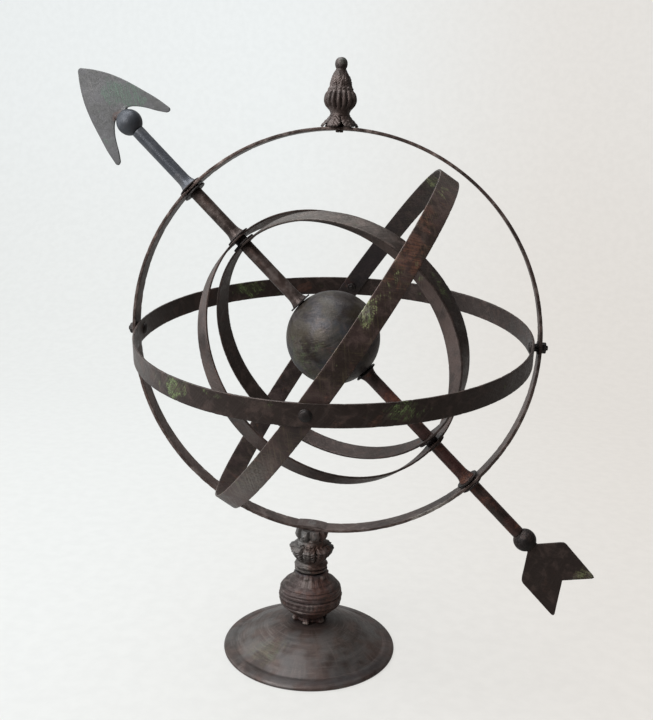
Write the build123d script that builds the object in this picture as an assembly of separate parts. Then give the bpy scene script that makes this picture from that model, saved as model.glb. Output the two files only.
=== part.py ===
"""Decorative armillary sphere, a table-top piece in patinated iron.

Frame: +Z up, the front of the piece looks along -Y, the origin is on the stem
axis in the plane of the foot's rim.  Millimetres.  Each physical piece is one
node, written to parts/NODE.step; identical fasteners share a node as separate
solids.
"""

from build123d import *
import os
from math import asin, cos, degrees, pi, sqrt

os.makedirs("parts", exist_ok=True)

# ---------------------------------------------------------------- dimensions
# Placement of the globe
SPHERE_X = 16.0          # globe centre sits this far right of the stem axis
SPHERE_Z = 334.0         # globe centre above the floor
ARROW_ANGLE = 45.4       # arrow above the horizontal, head up and to the left

# Fixed hoop (meridian): flat bar rolled into an upright ring
HOOP_R = 200.0           # mid radius, as for every band
HOOP_T = 3.0
HOOP_W = 18.5
HOOP_IN, HOOP_OUT = HOOP_R - HOOP_T / 2, HOOP_R + HOOP_T / 2

# Horizon band, pivots left and right on the hoop
HORIZON_R = 192.8
HORIZON_T = 2.0
HORIZON_W = 20.6
HORIZON_TILT = 8.1       # rest tilt, front edge low
HORIZON_IN, HORIZON_OUT = HORIZON_R - HORIZON_T / 2, HORIZON_R + HORIZON_T / 2

# Zodiac band, pivots front and rear on the horizon band
ZODIAC_R = 190.0
ZODIAC_T = 2.0
ZODIAC_W = 20.8
ZODIAC_TILT = 56.5       # rest angle from the horizon band
ZODIAC_IN, ZODIAC_OUT = ZODIAC_R - ZODIAC_T / 2, ZODIAC_R + ZODIAC_T / 2

# Two bands carried on the arrow
LARGE_R = 139.5
LARGE_T = 2.0
LARGE_W = 22.5
LARGE_TURN = 46.9        # turn about the arrow
SMALL_R = 131.5
SMALL_T = 2.0
SMALL_W = 21.0
SMALL_TURN = -27.0
BAND_SHIFT = 5.75        # both bands sit this far towards the tail
EDGE_BREAK = 0.45        # chamfer on the long edges of every band

# Arrow; distances along it are from the globe centre
TIE_R = 4.0              # 8 mm tie rod through the arrow
TUBE_R = 6.35            # half-inch tube
TUBE_BORE = 4.6          # radius
FLARE_R = 8.9            # trumpet end of a tube
FLARE_L = 11.0
WASHER_R = 12.3
WASHER_T = 1.5
BALL_WASHER_R = 11.8
HOOP_SPACER_R = 7.6
HOOP_SPACER_T = 1.9
BALL_R = 46.4            # hollow centre ball
BALL_WALL = 1.6
HEAD_BALL_R = 12.5
HEAD_BALL_AT = 286.5
TAIL_BALL_R = 11.5
TAIL_BALL_AT = 281.5
ROD_SHORT = 2.0          # tie rod ends this far before each end ball's centre
PLATE_T = 2.0            # head and tail plates
TANG_FLOOR = 3.0         # bottom of the tang slot beyond the ball's centre
TANG_START = 3.1         # end of the tang beyond the ball's centre
HEAD_TANG = 6.5          # half widths of the tangs
TAIL_TANG = 5.5

# Foot and stem
BASE_R = 90.0
BASE_WALL = 2.6
BASE_TOP = 31.5          # flat seat of the stem on the dish
SEAT_R = 17.0
STEM_ROD_R = 4.0
STEM_ROD_Z0 = 15.0
BULB_TOP = 86.4
STEM_WASHER_T = 1.4      # washer between the two stem castings
CAPITAL_Z0 = BULB_TOP + STEM_WASHER_T
CAPITAL_BLANK_TOP = SPHERE_Z - 198.0

# Pivot bolts, M5
M5_R = 2.5
BOLT_HEAD_R = 5.6
BOLT_END = 0.5           # chamfer on the threaded end

# Radial clearances and face gaps
RUNNING = 0.08           # turning fit on a rod or bolt
THREAD = 0.02            # threaded or tight hole
LOOSE = 0.1              # washers and spacers
FACE_GAP = 0.02          # between stacked faces
STEM_BORE = STEM_ROD_R + 0.3
TIE_BORE = TIE_R + RUNNING

# Frames
GLOBE = Pos(SPHERE_X, 0, SPHERE_Z)
ARROW = GLOBE * Rot(0, -ARROW_ANGLE, 0)            # +Z runs to the arrow head
HORIZON = GLOBE * Rot(HORIZON_TILT, 0, 0)
ZODIAC = HORIZON * Rot(0, -ZODIAC_TILT, 0)


# ------------------------------------------------------------------- helpers
def curve(points):
    """One spline in the XZ plane through (x, z) points."""
    return [Spline(*[(x, 0, z) for x, z in points])]


def lines(points):
    """Straight edges in the XZ plane joining (x, z) points."""
    return [Line((x0, 0, z0), (x1, 0, z1))
            for (x0, z0), (x1, z1) in zip(points[:-1], points[1:])]


def lathe(points, smooth=None):
    """Solid of revolution about Z from (radius, height) points.  `smooth` is
    run through with a spline; `points` then lead from its end to its start."""
    if smooth:
        edges = curve(smooth) + lines([smooth[-1]] + points + [smooth[0]])
    else:
        edges = lines(points + [points[0]])
    return revolve(make_face(edges), Axis.Z)


def disc(radius, z0, z1, bore=0.0):
    """Plain cylinder or ring about Z between two heights."""
    middle = Pos(0, 0, (z0 + z1) / 2)
    body = middle * Cylinder(radius, z1 - z0)
    if bore:
        body -= middle * Cylinder(bore, (z1 - z0) + 2)
    return body


def hex_nut(across_flats, z0, z1, bore):
    """Hexagon nut about Z with chamfered corners."""
    hexagon = RegularPolygon(across_flats / 2, 6, major_radius=False)
    body = extrude(Pos(0, 0, z0) * hexagon, z1 - z0)
    corner_r = across_flats / 2 / cos(pi / 6)
    face_r, side_r, chamfer_h = corner_r - 0.7, corner_r + 0.05, 0.45
    body &= lathe([(0, z0), (face_r, z0), (side_r, z0 + chamfer_h),
                   (side_r, z1 - chamfer_h), (face_r, z1), (0, z1)])
    body -= Pos(0, 0, (z0 + z1) / 2) * Cylinder(bore, (z1 - z0) + 2)
    return body


def band(mid_r, thickness, width):
    """Flat bar rolled into a ring about Z, with its long edges broken."""
    inner, outer, half = mid_r - thickness / 2, mid_r + thickness / 2, width / 2
    return lathe([
        (inner, -half + EDGE_BREAK), (inner + EDGE_BREAK, -half),
        (outer - EDGE_BREAK, -half), (outer, -half + EDGE_BREAK),
        (outer, half - EDGE_BREAK), (outer - EDGE_BREAK, half),
        (inner + EDGE_BREAK, half), (inner, half - EDGE_BREAK)])


def inside_seat(inner_r, part_r):
    """Distance from the centre at which a flat round face of radius `part_r`
    bears on the concave side of a band."""
    return sqrt(inner_r ** 2 - part_r ** 2) - FACE_GAP


def write(name, *bodies):
    """One STEP file per node."""
    solids = [solid for body in bodies for solid in body.solids()]
    node = solids[0] if len(solids) == 1 else Compound(children=solids)
    export_step(node, f"parts/{name}.step")


# ---------------------------------------------------------------------- foot
# Spun dish: flat seat, convex dome, step to a flatter lip, rolled rim.
# Columns: radius, height.
DISH_TOP = [
    (SEAT_R, BASE_TOP), (30.0, 29.3), (45.0, 24.6), (58.0, 18.9), (68.0, 12.9), (74.5, 8.7),
    (79.0, 6.9), (85.0, 5.7), (88.6, 4.4), (BASE_R, 2.3), (89.3, 0.7), (87.8, 0.0)]
DISH_UNDER = [
    (85.6, 0.0), (84.6, 1.6), (79.0, 4.1), (73.5, 5.9), (66.8, 10.3), (56.6, 16.2),
    (44.0, 21.9), (29.5, 26.7), (SEAT_R, BASE_TOP - BASE_WALL)]
BASE_WASHER_R, BASE_WASHER_T = 15.0, 2.4
BASE_NUT_FLATS, BASE_NUT_H = 13.0, 6.5

under_seat = BASE_TOP - BASE_WALL
write("base_dish", revolve(make_face(
    lines([(STEM_BORE, BASE_TOP), DISH_TOP[0]])
    + curve(DISH_TOP)
    + lines([DISH_TOP[-1], DISH_UNDER[0]])
    + curve(DISH_UNDER)
    + lines([DISH_UNDER[-1], (STEM_BORE, under_seat), (STEM_BORE, BASE_TOP)])), Axis.Z))

nut_top = under_seat - BASE_WASHER_T
write("base_washer", disc(BASE_WASHER_R, nut_top, under_seat, STEM_ROD_R + 0.2))
write("base_nut", hex_nut(BASE_NUT_FLATS, nut_top - BASE_NUT_H, nut_top, STEM_ROD_R + THREAD))

# ---------------------------------------------------------------------- stem
# Lower casting: petal foot, waist, wide grooved bulb, narrow top.
# Columns: radius, height.
BULB_PROFILE = [
    (15.2, BASE_TOP), (16.6, 33.6), (16.2, 36.0), (18.6, 39.8), (22.8, 43.0), (27.2, 46.0),
    (30.6, 49.8), (32.3, 54.0), (32.7, 59.8), (32.2, 65.5), (30.6, 69.6), (27.4, 73.0),
    (23.4, 76.5), (19.6, 81.2), (17.2, 85.0), (16.2, BULB_TOP)]
BULB_GROOVES = [(32.1, 52.8), (32.6, 62.2), (30.0, 70.4), (24.6, 75.4)]
PETALS = 10

bulb = lathe([(STEM_BORE, BULB_TOP), (STEM_BORE, BASE_TOP)], smooth=BULB_PROFILE)
for groove_r, groove_z in BULB_GROOVES:
    bulb -= Pos(0, 0, groove_z) * Torus(groove_r + 0.45, 0.9)
petal_gap = Pos(18.4, 0, BASE_TOP + 1.6) * Rot(0, 12, 0) * Cylinder(2.6, 7.4)
for k in range(PETALS):
    bulb -= Rot(0, 0, 18 + 360 / PETALS * k) * petal_gap
write("stem_bulb", bulb)

write("stem_washer", disc(13.2, BULB_TOP, CAPITAL_Z0, STEM_BORE))

# Upper casting: two collar rings, neck, leaf bulge, neck, leaf-tipped cup cut
# to the underside of the hoop.  Columns: radius, height.
CAPITAL_PROFILE = [
    (15.4, CAPITAL_Z0), (16.9, 89.0), (16.9, 90.6), (16.0, 91.6), (17.0, 92.9), (17.1, 94.4),
    (15.2, 96.8), (14.6, 98.2), (16.4, 100.4), (19.6, 103.8), (21.6, 107.2), (22.1, 110.2),
    (21.0, 113.6), (18.2, 116.8), (15.3, 119.4), (14.4, 121.2), (15.6, 123.6), (16.8, 126.0),
    (17.0, 129.0), (16.4, 133.0), (16.2, CAPITAL_BLANK_TOP)]
LEAVES = 8

capital = lathe([(STEM_BORE, CAPITAL_BLANK_TOP), (STEM_BORE, CAPITAL_Z0)],
                smooth=CAPITAL_PROFILE)
bulge_valley = Pos(24.6, 0, 109.4) * Cylinder(3.6, 14.0)
cup_valley = Pos(19.0, 0, 128.6) * Cylinder(2.9, 8.0)
leaf_pitch = 360 / LEAVES
for k in range(LEAVES):
    capital -= Rot(0, 0, leaf_pitch / 2 + leaf_pitch * k) * bulge_valley
    capital -= Rot(0, 0, leaf_pitch * k) * cup_valley
capital -= GLOBE * Rot(90, 0, 0) * Cylinder(HOOP_OUT, 120)
write("stem_capital", capital)

# Crowned tapped plate inside the hoop, over the stem; the stem rod screws up
# into it.
SEAT_PLATE_T = 2.2
SEAT_PLATE_END_T = 0.7
SEAT_PLATE_HALF = 14.5   # half length

crown_rise = SEAT_PLATE_T - SEAT_PLATE_END_T
relative_r = (SEAT_PLATE_HALF ** 2 + crown_rise ** 2) / (2 * crown_rise)
crown_r = 1 / (1 / relative_r - 1 / HOOP_IN)       # allows for the hoop's own curve
seat_plate = (Pos(0, 0, -(HOOP_IN - SEAT_PLATE_T) - crown_r) * Rot(90, 0, 0)
              * Cylinder(crown_r, HOOP_W - 0.6))
seat_plate &= Rot(90, 0, 0) * Cylinder(HOOP_IN, HOOP_W + 4)
seat_plate &= Pos(0, 0, -HOOP_IN) * Box(2 * SEAT_PLATE_HALF, 60, 30)
seat_plate = GLOBE * Rot(0, degrees(asin(SPHERE_X / HOOP_R)), 0) * seat_plate
rod_bore = Pos(0, 0, SPHERE_Z - 197) * Cylinder(STEM_ROD_R + THREAD, 30)
write("seat_plate", seat_plate - rod_bore)

# Stem rod, its top cut to the crown side of the seat plate.
stem_rod = disc(STEM_ROD_R, STEM_ROD_Z0, SPHERE_Z - 190)
stem_rod -= GLOBE * Rot(90, 0, 0) * Cylinder(HOOP_IN - SEAT_PLATE_T, 60)
write("stem_tie_rod", stem_rod)

# ---------------------------------------------------------------------- hoop
hoop = Rot(90, 0, 0) * band(HOOP_R, HOOP_T, HOOP_W)
for s in (-1, 1):        # arrow and horizon pivot holes
    hoop -= Rot(0, -ARROW_ANGLE, 0) * (Pos(0, 0, s * HOOP_R) * Cylinder(TIE_BORE, 30))
    hoop -= Pos(s * HOOP_R, 0, 0) * Rot(0, 90, 0) * Cylinder(M5_R + THREAD, 30)
hoop -= Pos(0, 0, HOOP_R) * Cylinder(M5_R + LOOSE, 20)            # finial screw
hoop -= Pos(-SPHERE_X, 0, -HOOP_R) * Cylinder(STEM_BORE, 30)      # stem rod
write("meridian_ring", GLOBE * hoop)

# -------------------------------------------------------------------- finial
# Columns: radius, height above the globe centre.
FINIAL_PROFILE = [
    (0.0, 264.4), (3.0, 263.7), (5.2, 261.4), (5.9, 258.4), (5.5, 255.4), (5.1, 253.7),
    (5.6, 251.8), (7.2, 248.6), (8.6, 244.8), (9.6, 240.4), (10.2, 237.6), (11.8, 234.6),
    (13.8, 231.6), (14.9, 228.2), (15.1, 225.2), (14.2, 221.8), (12.0, 218.6), (9.9, 216.0),
    (9.0, 213.4), (9.6, 211.4), (12.0, 208.6), (14.8, 205.2), (16.8, 202.9), (17.5, 201.8)]
FINIAL_HOLLOW = [
    (15.6, HOOP_OUT + 0.3), (12.6, 205.2), (9.4, 208.6), (6.4, 209.8), (4.4, 210.1),
    (4.4, HOOP_OUT), (0.0, HOOP_OUT)]
FLUTES = 16
LEAF_FEET = 6

finial = lathe(FINIAL_HOLLOW, smooth=FINIAL_PROFILE)
flute = Pos(16.9, 0, 226.0) * Cylinder(2.7, 17.0)
for k in range(FLUTES):
    finial -= Rot(0, 0, 360 / FLUTES * (k + 0.5)) * flute
# Triangular openings between the leaf feet, kept clear of the centre boss.
opening = extrude(Plane.XZ * make_face(Polyline(
    (0, 209.8), (-6.2, 199.0), (6.2, 199.0), (0, 209.8))), 24)
around_boss = Pos(0, 0, 200) * Cylinder(30, 40) - Pos(0, 0, 200) * Cylinder(4.8, 60)
for k in range(LEAF_FEET):
    finial -= Rot(0, 0, 120 + 360 / LEAF_FEET * k) * opening & around_boss
finial -= Pos(0, 0, HOOP_OUT + 6) * Cylinder(M5_R + THREAD, 12)
write("finial", GLOBE * finial)

# Slotted screw, up through the hoop with its head inside.
screw = disc(M5_R, HOOP_IN, HOOP_OUT + 11.5) + disc(3.6, HOOP_IN - 2.0, HOOP_IN - 0.06)
screw += disc(M5_R, HOOP_IN - 1, HOOP_IN + 1)
screw -= Pos(0, 0, HOOP_IN - 2.0) * Box(0.9, 12, 1.6)
write("finial_screw", GLOBE * screw)

# ------------------------------------------------------------- horizon band
horizon = band(HORIZON_R, HORIZON_T, HORIZON_W)
for s in (-1, 1):
    horizon -= Pos(s * HORIZON_R, 0, 0) * Rot(0, 90, 0) * Cylinder(M5_R + RUNNING, 20)
    horizon -= Pos(0, s * HORIZON_R, 0) * Rot(90, 0, 0) * Cylinder(M5_R + THREAD, 20)
write("horizon_ring", HORIZON * horizon)

# Left and right pivots, built about +Z pointing outwards.  From inside out:
# domed head, horizon band, washer, spacer, washer, hoop, nut.
PIVOT_WASHER_R = 6.2
PIVOT_WASHER_T = 1.0

head_z = inside_seat(HORIZON_IN, BOLT_HEAD_R)
bolt = lathe([
    (0, head_z - 2.8), (2.4, head_z - 2.7), (4.4, head_z - 1.9), (BOLT_HEAD_R, head_z - 0.6),
    (BOLT_HEAD_R, head_z), (M5_R, head_z), (M5_R, HOOP_OUT + 5.6),
    (M5_R - BOLT_END, HOOP_OUT + 6.2), (0, HOOP_OUT + 6.2)])
nut = hex_nut(9.6, HOOP_OUT + FACE_GAP, HOOP_OUT + 4.4, M5_R + THREAD)
hoop_face = inside_seat(HOOP_IN, PIVOT_WASHER_R)
inner_washer = disc(PIVOT_WASHER_R, HORIZON_OUT + FACE_GAP, HORIZON_OUT + PIVOT_WASHER_T,
                    M5_R + LOOSE)
outer_washer = disc(PIVOT_WASHER_R, hoop_face - PIVOT_WASHER_T, hoop_face, M5_R + LOOSE)
spacer = disc(3.9, HORIZON_OUT + PIVOT_WASHER_T + FACE_GAP,
              hoop_face - PIVOT_WASHER_T - FACE_GAP, M5_R + LOOSE)

left_right = [GLOBE * Rot(0, 90 * s, 0) for s in (-1, 1)]
write("horizon_pivot_bolts", *[side * bolt for side in left_right])
write("horizon_pivot_nuts", *[side * nut for side in left_right])
write("horizon_pivot_washers",
      *[side * washer for side in left_right for washer in (inner_washer, outer_washer)])
write("horizon_pivot_spacers", *[side * spacer for side in left_right])

# -------------------------------------------------------------- zodiac band
zodiac = band(ZODIAC_R, ZODIAC_T, ZODIAC_W)
for s in (-1, 1):
    zodiac -= Pos(0, s * ZODIAC_R, 0) * Rot(90, 0, 0) * Cylinder(M5_R + RUNNING, 20)
write("zodiac_ring", ZODIAC * zodiac)

# Front and rear pivots, built about +Z pointing outwards: nut inside, zodiac
# band, thin washer, horizon band, domed carriage-bolt head outside.
THIN_WASHER_R = 5.6

nut_face = inside_seat(ZODIAC_IN, 5.2)
thread_end = nut_face - 5.4
head_z = HORIZON_OUT + 0.01
bolt = lathe([
    (0, thread_end), (M5_R - BOLT_END, thread_end), (M5_R, thread_end + BOLT_END),
    (M5_R, head_z), (BOLT_HEAD_R, head_z), (BOLT_HEAD_R, HORIZON_OUT + 0.5),
    (4.6, HORIZON_OUT + 1.7), (2.6, HORIZON_OUT + 2.5), (0, HORIZON_OUT + 2.8)])
nut = hex_nut(8.8, nut_face - 4.0, nut_face, M5_R + THREAD)
washer = disc(THIN_WASHER_R, ZODIAC_OUT + FACE_GAP, inside_seat(HORIZON_IN, THIN_WASHER_R),
              M5_R + LOOSE)

rear_front = [HORIZON * Rot(-90 * s, 0, 0) for s in (-1, 1)]
write("zodiac_pivot_bolts", *[side * bolt for side in rear_front])
write("zodiac_pivot_nuts", *[side * nut for side in rear_front])
write("zodiac_pivot_washers", *[side * washer for side in rear_front])


# -------------------------------------------------- bands carried on the arrow
def carried_band(mid_r, thickness, width, turn):
    ring = Rot(90, 0, 0) * band(mid_r, thickness, width)
    ring -= Cylinder(TIE_BORE, 2 * mid_r + 20)
    return ARROW * Pos(0, 0, -BAND_SHIFT) * Rot(0, 0, turn) * ring


write("inner_ring_large", carried_band(LARGE_R, LARGE_T, LARGE_W, LARGE_TURN))
write("inner_ring_small", carried_band(SMALL_R, SMALL_T, SMALL_W, SMALL_TURN))


# --------------------------------------------------------------------- arrow
HEAD, TAIL = 1, -1       # the two halves of the arrow


def on_arrow(side, shape, shift=0.0):
    """Places a shape built outwards along +Z on one half of the arrow, moved
    `shift` towards the tail."""
    shape = Pos(0, 0, -side * shift) * shape
    return ARROW * (shape if side == HEAD else Rot(180, 0, 0) * shape)


def flared_tube(wide_end, plain_end):
    """Tube between two distances along the arrow, a trumpet at `wide_end`."""
    steps = 6
    inward = 1 if plain_end > wide_end else -1
    flare = []
    for i in range(steps + 1):
        u = i / steps
        flare.append((TUBE_R + (FLARE_R - TUBE_R) * u ** 2.6,
                      wide_end + inward * (FLARE_L - u * FLARE_L)))
    return lathe([(TUBE_BORE, wide_end), (TUBE_BORE, plain_end), (TUBE_R, plain_end)],
                 smooth=flare)


def arrow_washer(radius, start):
    return disc(radius, start, start + WASHER_T, TIE_R + LOOSE)


# Stations along the arrow, from the centre ball outwards.  Those at the two
# carried bands are measured from the bands' own centre.
ball_washer_end = BALL_R + WASHER_T
small_inside = inside_seat(SMALL_R - SMALL_T / 2, TUBE_R)
small_outside = SMALL_R + SMALL_T / 2 + FACE_GAP
large_inside = inside_seat(LARGE_R - LARGE_T / 2, TUBE_R)
large_outside = LARGE_R + LARGE_T / 2 + FACE_GAP
outer_tube_start = large_outside + WASHER_T
spacer_end = inside_seat(HOOP_IN, HOOP_SPACER_R)
spacer_start = spacer_end - HOOP_SPACER_T
outer_tube_end = spacer_start - WASHER_T
hoop_outside = HOOP_OUT + FACE_GAP
end_tube_start = hoop_outside + WASHER_T

write("centre_ball", ARROW * (Sphere(BALL_R) - Sphere(BALL_R - BALL_WALL)
                              - Cylinder(TIE_BORE, 2 * BALL_R + 10)))
write("ball_washers", *[on_arrow(s, arrow_washer(BALL_WASHER_R, BALL_R)) for s in (HEAD, TAIL)])

for name, s in (("upper", HEAD), ("lower", TAIL)):
    write(f"{name}_inner_tube",
          on_arrow(s, flared_tube(ball_washer_end, small_inside - s * BAND_SHIFT)))

hub_spacer = disc(TUBE_R, small_outside + WASHER_T, large_inside, TUBE_BORE)
write("hub_spacers", *[on_arrow(s, hub_spacer, BAND_SHIFT) for s in (HEAD, TAIL)])
write("band_washers", *[on_arrow(s, arrow_washer(WASHER_R, start), BAND_SHIFT)
                        for s in (HEAD, TAIL) for start in (small_outside, large_outside)])

# The upper tube flares at the bands, the lower one at the hoop.
write("upper_outer_tube",
      on_arrow(HEAD, flared_tube(outer_tube_start - BAND_SHIFT, outer_tube_end)))
write("lower_outer_tube",
      on_arrow(TAIL, flared_tube(outer_tube_end, outer_tube_start + BAND_SHIFT)))

hoop_spacer = disc(HOOP_SPACER_R, spacer_start, spacer_end, TIE_R + LOOSE)
write("hoop_spacers", *[on_arrow(s, hoop_spacer) for s in (HEAD, TAIL)])
write("hoop_washers", *[on_arrow(s, arrow_washer(WASHER_R, start))
                        for s in (HEAD, TAIL) for start in (outer_tube_end, hoop_outside)])


def tube_stop(ball_at, ball_r):
    """Where a tube's bore edge meets the near side of an end ball."""
    return ball_at - sqrt(ball_r ** 2 - TUBE_BORE ** 2) - FACE_GAP


tail_tube_end = tube_stop(TAIL_BALL_AT, TAIL_BALL_R)
write("head_tube",
      on_arrow(HEAD, flared_tube(end_tube_start, tube_stop(HEAD_BALL_AT, HEAD_BALL_R))))
write("tail_tube", on_arrow(TAIL, lathe([
    (TUBE_BORE, end_tube_start), (TUBE_R, end_tube_start),
    (TUBE_R, tail_tube_end), (TUBE_BORE, tail_tube_end)])))

# Tie rod: the ends screw into the two end balls.
write("arrow_tie_rod",
      ARROW * disc(TIE_R, -(TAIL_BALL_AT - ROD_SHORT), HEAD_BALL_AT - ROD_SHORT))


def end_ball(centre, radius, tang_half):
    """Solid end ball: blind hole for the rod, slot across the far side for the
    plate's tang."""
    ball = Pos(0, 0, centre) * Sphere(radius)
    ball -= disc(TIE_R + THREAD, centre - radius - 2, centre - ROD_SHORT + 0.05)
    slot_l = 20
    ball -= (Pos(0, 0, centre + TANG_FLOOR + slot_l / 2)
             * Box(2 * tang_half + 0.1, PLATE_T + 0.06, slot_l))
    return ball


write("head_ball", on_arrow(HEAD, end_ball(HEAD_BALL_AT, HEAD_BALL_R, HEAD_TANG)))
write("tail_ball", on_arrow(TAIL, end_ball(TAIL_BALL_AT, TAIL_BALL_R, TAIL_TANG)))


def plate(outline):
    """Sheet cut to an outline in the plane of the arrow and the hoop."""
    return Pos(0, PLATE_T / 2, 0) * extrude(make_face(outline), amount=PLATE_T, dir=(0, -1, 0))


def mirrored(points):
    return [(-x, z) for x, z in reversed(points)]


# Head: leaf-shaped barbed blade with a rounded tip.
# Columns: distance across the arrow, distance along it.
HEAD_TIP = [(-2.3, 354.6), (0.0, 355.6), (2.3, 354.6)]
HEAD_OUTER = [
    (2.3, 354.6), (10.3, 344.6), (18.6, 331.4), (25.2, 316.6), (31.2, 298.0), (35.6, 283.0),
    (38.0, 271.0)]
HEAD_BARB = [(38.0, 271.0), (38.3, 268.0), (37.2, 266.2), (35.0, 266.1), (33.0, 267.2)]
HEAD_INNER = [
    (33.0, 267.2), (28.2, 273.8), (21.8, 284.2), (16.4, 291.2), (11.4, 295.8),
    (HEAD_TANG, 298.2)]

half_tang = [HEAD_INNER[-1], (HEAD_TANG, HEAD_BALL_AT + TANG_START)]
write("arrow_head", on_arrow(HEAD, plate(
    curve(HEAD_TIP) + curve(HEAD_OUTER) + curve(HEAD_BARB) + curve(HEAD_INNER)
    + lines(half_tang + mirrored(half_tang))
    + curve(mirrored(HEAD_INNER)) + curve(mirrored(HEAD_BARB)) + curve(mirrored(HEAD_OUTER)))))

# Tail: notched flight.  Columns as for the head.
tail_tang_end = TAIL_BALL_AT + TANG_START
TAIL_OUTLINE = [
    (TAIL_TANG, tail_tang_end), (TAIL_TANG, 292.2), (25.0, 306.6), (27.4, 309.0), (28.1, 312.0),
    (26.0, 354.6), (25.2, 356.8), (23.0, 356.4), (-0.6, 338.6), (-30.4, 361.6), (-32.6, 362.0),
    (-33.5, 359.8), (-32.4, 315.6), (-31.4, 312.6), (-28.6, 309.8), (-TAIL_TANG, 292.2),
    (-TAIL_TANG, tail_tang_end)]
write("arrow_tail", on_arrow(TAIL, plate(lines(TAIL_OUTLINE + TAIL_OUTLINE[:1]))))
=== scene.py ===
import math

import bmesh
import bpy
import numpy as np
from mathutils import Matrix, Vector


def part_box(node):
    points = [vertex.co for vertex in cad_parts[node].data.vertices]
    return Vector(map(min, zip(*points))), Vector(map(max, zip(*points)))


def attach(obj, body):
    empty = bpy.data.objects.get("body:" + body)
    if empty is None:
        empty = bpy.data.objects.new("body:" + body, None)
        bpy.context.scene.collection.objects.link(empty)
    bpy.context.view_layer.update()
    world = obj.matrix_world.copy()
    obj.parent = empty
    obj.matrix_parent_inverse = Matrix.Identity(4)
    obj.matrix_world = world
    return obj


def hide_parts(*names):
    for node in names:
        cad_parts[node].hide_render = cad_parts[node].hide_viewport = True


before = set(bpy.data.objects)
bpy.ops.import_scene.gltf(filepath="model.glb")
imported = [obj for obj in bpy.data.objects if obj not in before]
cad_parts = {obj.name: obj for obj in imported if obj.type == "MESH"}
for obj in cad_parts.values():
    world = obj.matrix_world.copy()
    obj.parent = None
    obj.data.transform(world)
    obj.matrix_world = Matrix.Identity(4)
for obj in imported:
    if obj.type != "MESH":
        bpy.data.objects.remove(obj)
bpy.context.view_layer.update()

# ------------------------------------------------------------------ dimensions
# millimetres, the same frame as the CAD part
lo_f, hi_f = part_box("centre_ball")
SX, SY, SZ = [float(v) * 1000 for v in (lo_f + hi_f) / 2]
MER_R, MER_T, MER_W = 200.0, 3.0, 18.5
HOR_R, HOR_T, HOR_W, HOR_REST = 192.8, 2.0, 20.6, 8.1
ZOD_R, ZOD_T, ZOD_W, ZOD_REST = 190.0, 2.0, 20.8, 56.5
INL_R, INL_T, INL_W, INL_REST = 139.5, 2.0, 22.5, 46.9
INS_R, INS_T, INS_W, INS_REST = 131.5, 2.0, 21.0, -27.0
BAND_SHIFT = 5.75
ARROW_ANGLE = 45.4
TIE_R, RUN, M5_R = 4.0, 0.08, 2.5
TUBE_R, TUBE_IR, FLARE_R, FLARE_L = 6.35, 4.6, 8.9, 11.0
WASHER_R, WASHER_T = 12.3, 1.5
BALL_R, BALL_WALL = 46.4, 1.6
HEAD_BALL_R, HEAD_BALL_S, TAIL_BALL_R, TAIL_BALL_S = 12.5, 286.5, 11.5, 281.5
PLATE_T = 2.0
BASE_R, BASE_WALL, BASE_TOP, STEM_ROD_R = 90.0, 2.6, 31.5, 4.0
BULB_Z1, CAP_Z0 = 86.4, 87.8
HEAD_R = 5.6
H_IN, H_OUT = HOR_R - HOR_T / 2, HOR_R + HOR_T / 2
M_IN, M_OUT = MER_R - MER_T / 2, MER_R + MER_T / 2
Z_IN, Z_OUT = ZOD_R - ZOD_T / 2, ZOD_R + ZOD_T / 2

# ------------------------------------------------------------------- transforms


def TR(x, y, z):
    m = np.eye(4)
    m[:3, 3] = (x, y, z)
    return m


def RX(a):
    c, s = math.cos(math.radians(a)), math.sin(math.radians(a))
    return np.array([[1, 0, 0, 0], [0, c, -s, 0], [0, s, c, 0], [0, 0, 0, 1.0]])


def RY(a):
    c, s = math.cos(math.radians(a)), math.sin(math.radians(a))
    return np.array([[c, 0, s, 0], [0, 1, 0, 0], [-s, 0, c, 0], [0, 0, 0, 1.0]])


def RZ(a):
    c, s = math.cos(math.radians(a)), math.sin(math.radians(a))
    return np.array([[c, -s, 0, 0], [s, c, 0, 0], [0, 0, 1, 0], [0, 0, 0, 1.0]])


GLOBE = TR(SX, SY, SZ)
ARROW = GLOBE @ RY(-ARROW_ANGLE)
TAILW = ARROW @ RX(180)
HORIZON = GLOBE @ RX(HOR_REST)
ZODIAC = HORIZON @ RY(-ZOD_REST)


def apply(m, p):
    return p @ m[:3, :3].T + m[:3, 3]


def smooth(x, a, b):
    t = np.clip((x - a) / (b - a), 0, 1)
    return t * t * (3 - 2 * t)


# ------------------------------------------------------------------------ noise


def _h(ix, iy, iz, seed):
    h = (ix * 73856093) ^ (iy * 19349663) ^ (iz * 83492791) ^ (seed * 2654435761)
    h &= 0xFFFFFFFF
    h = ((h ^ (h >> 16)) * 0x45D9F3B) & 0xFFFFFFFF
    h = ((h ^ (h >> 16)) * 0x45D9F3B) & 0xFFFFFFFF
    return ((h ^ (h >> 16)) & 0xFFFF) / 65535.0


def vnoise(p, seed=0):
    i = np.floor(p).astype(np.int64)
    f = p - i
    f = f * f * (3 - 2 * f)
    out = np.zeros(len(p))
    for dx in (0, 1):
        wx = f[:, 0] if dx else 1 - f[:, 0]
        for dy in (0, 1):
            wy = f[:, 1] if dy else 1 - f[:, 1]
            for dz in (0, 1):
                wz = f[:, 2] if dz else 1 - f[:, 2]
                out += wx * wy * wz * _h(i[:, 0] + dx, i[:, 1] + dy, i[:, 2] + dz, seed)
    return out * 2 - 1


def fbm(p, seed=0, octaves=3):
    s, a, t = 0.0, 1.0, 0.0
    for k in range(octaves):
        s = s + a * vnoise(p * 2.0 ** k, seed + k)
        t += a
        a *= 0.5
    return s / t


# ---------------------------------------------------------------- mesh building


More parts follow.
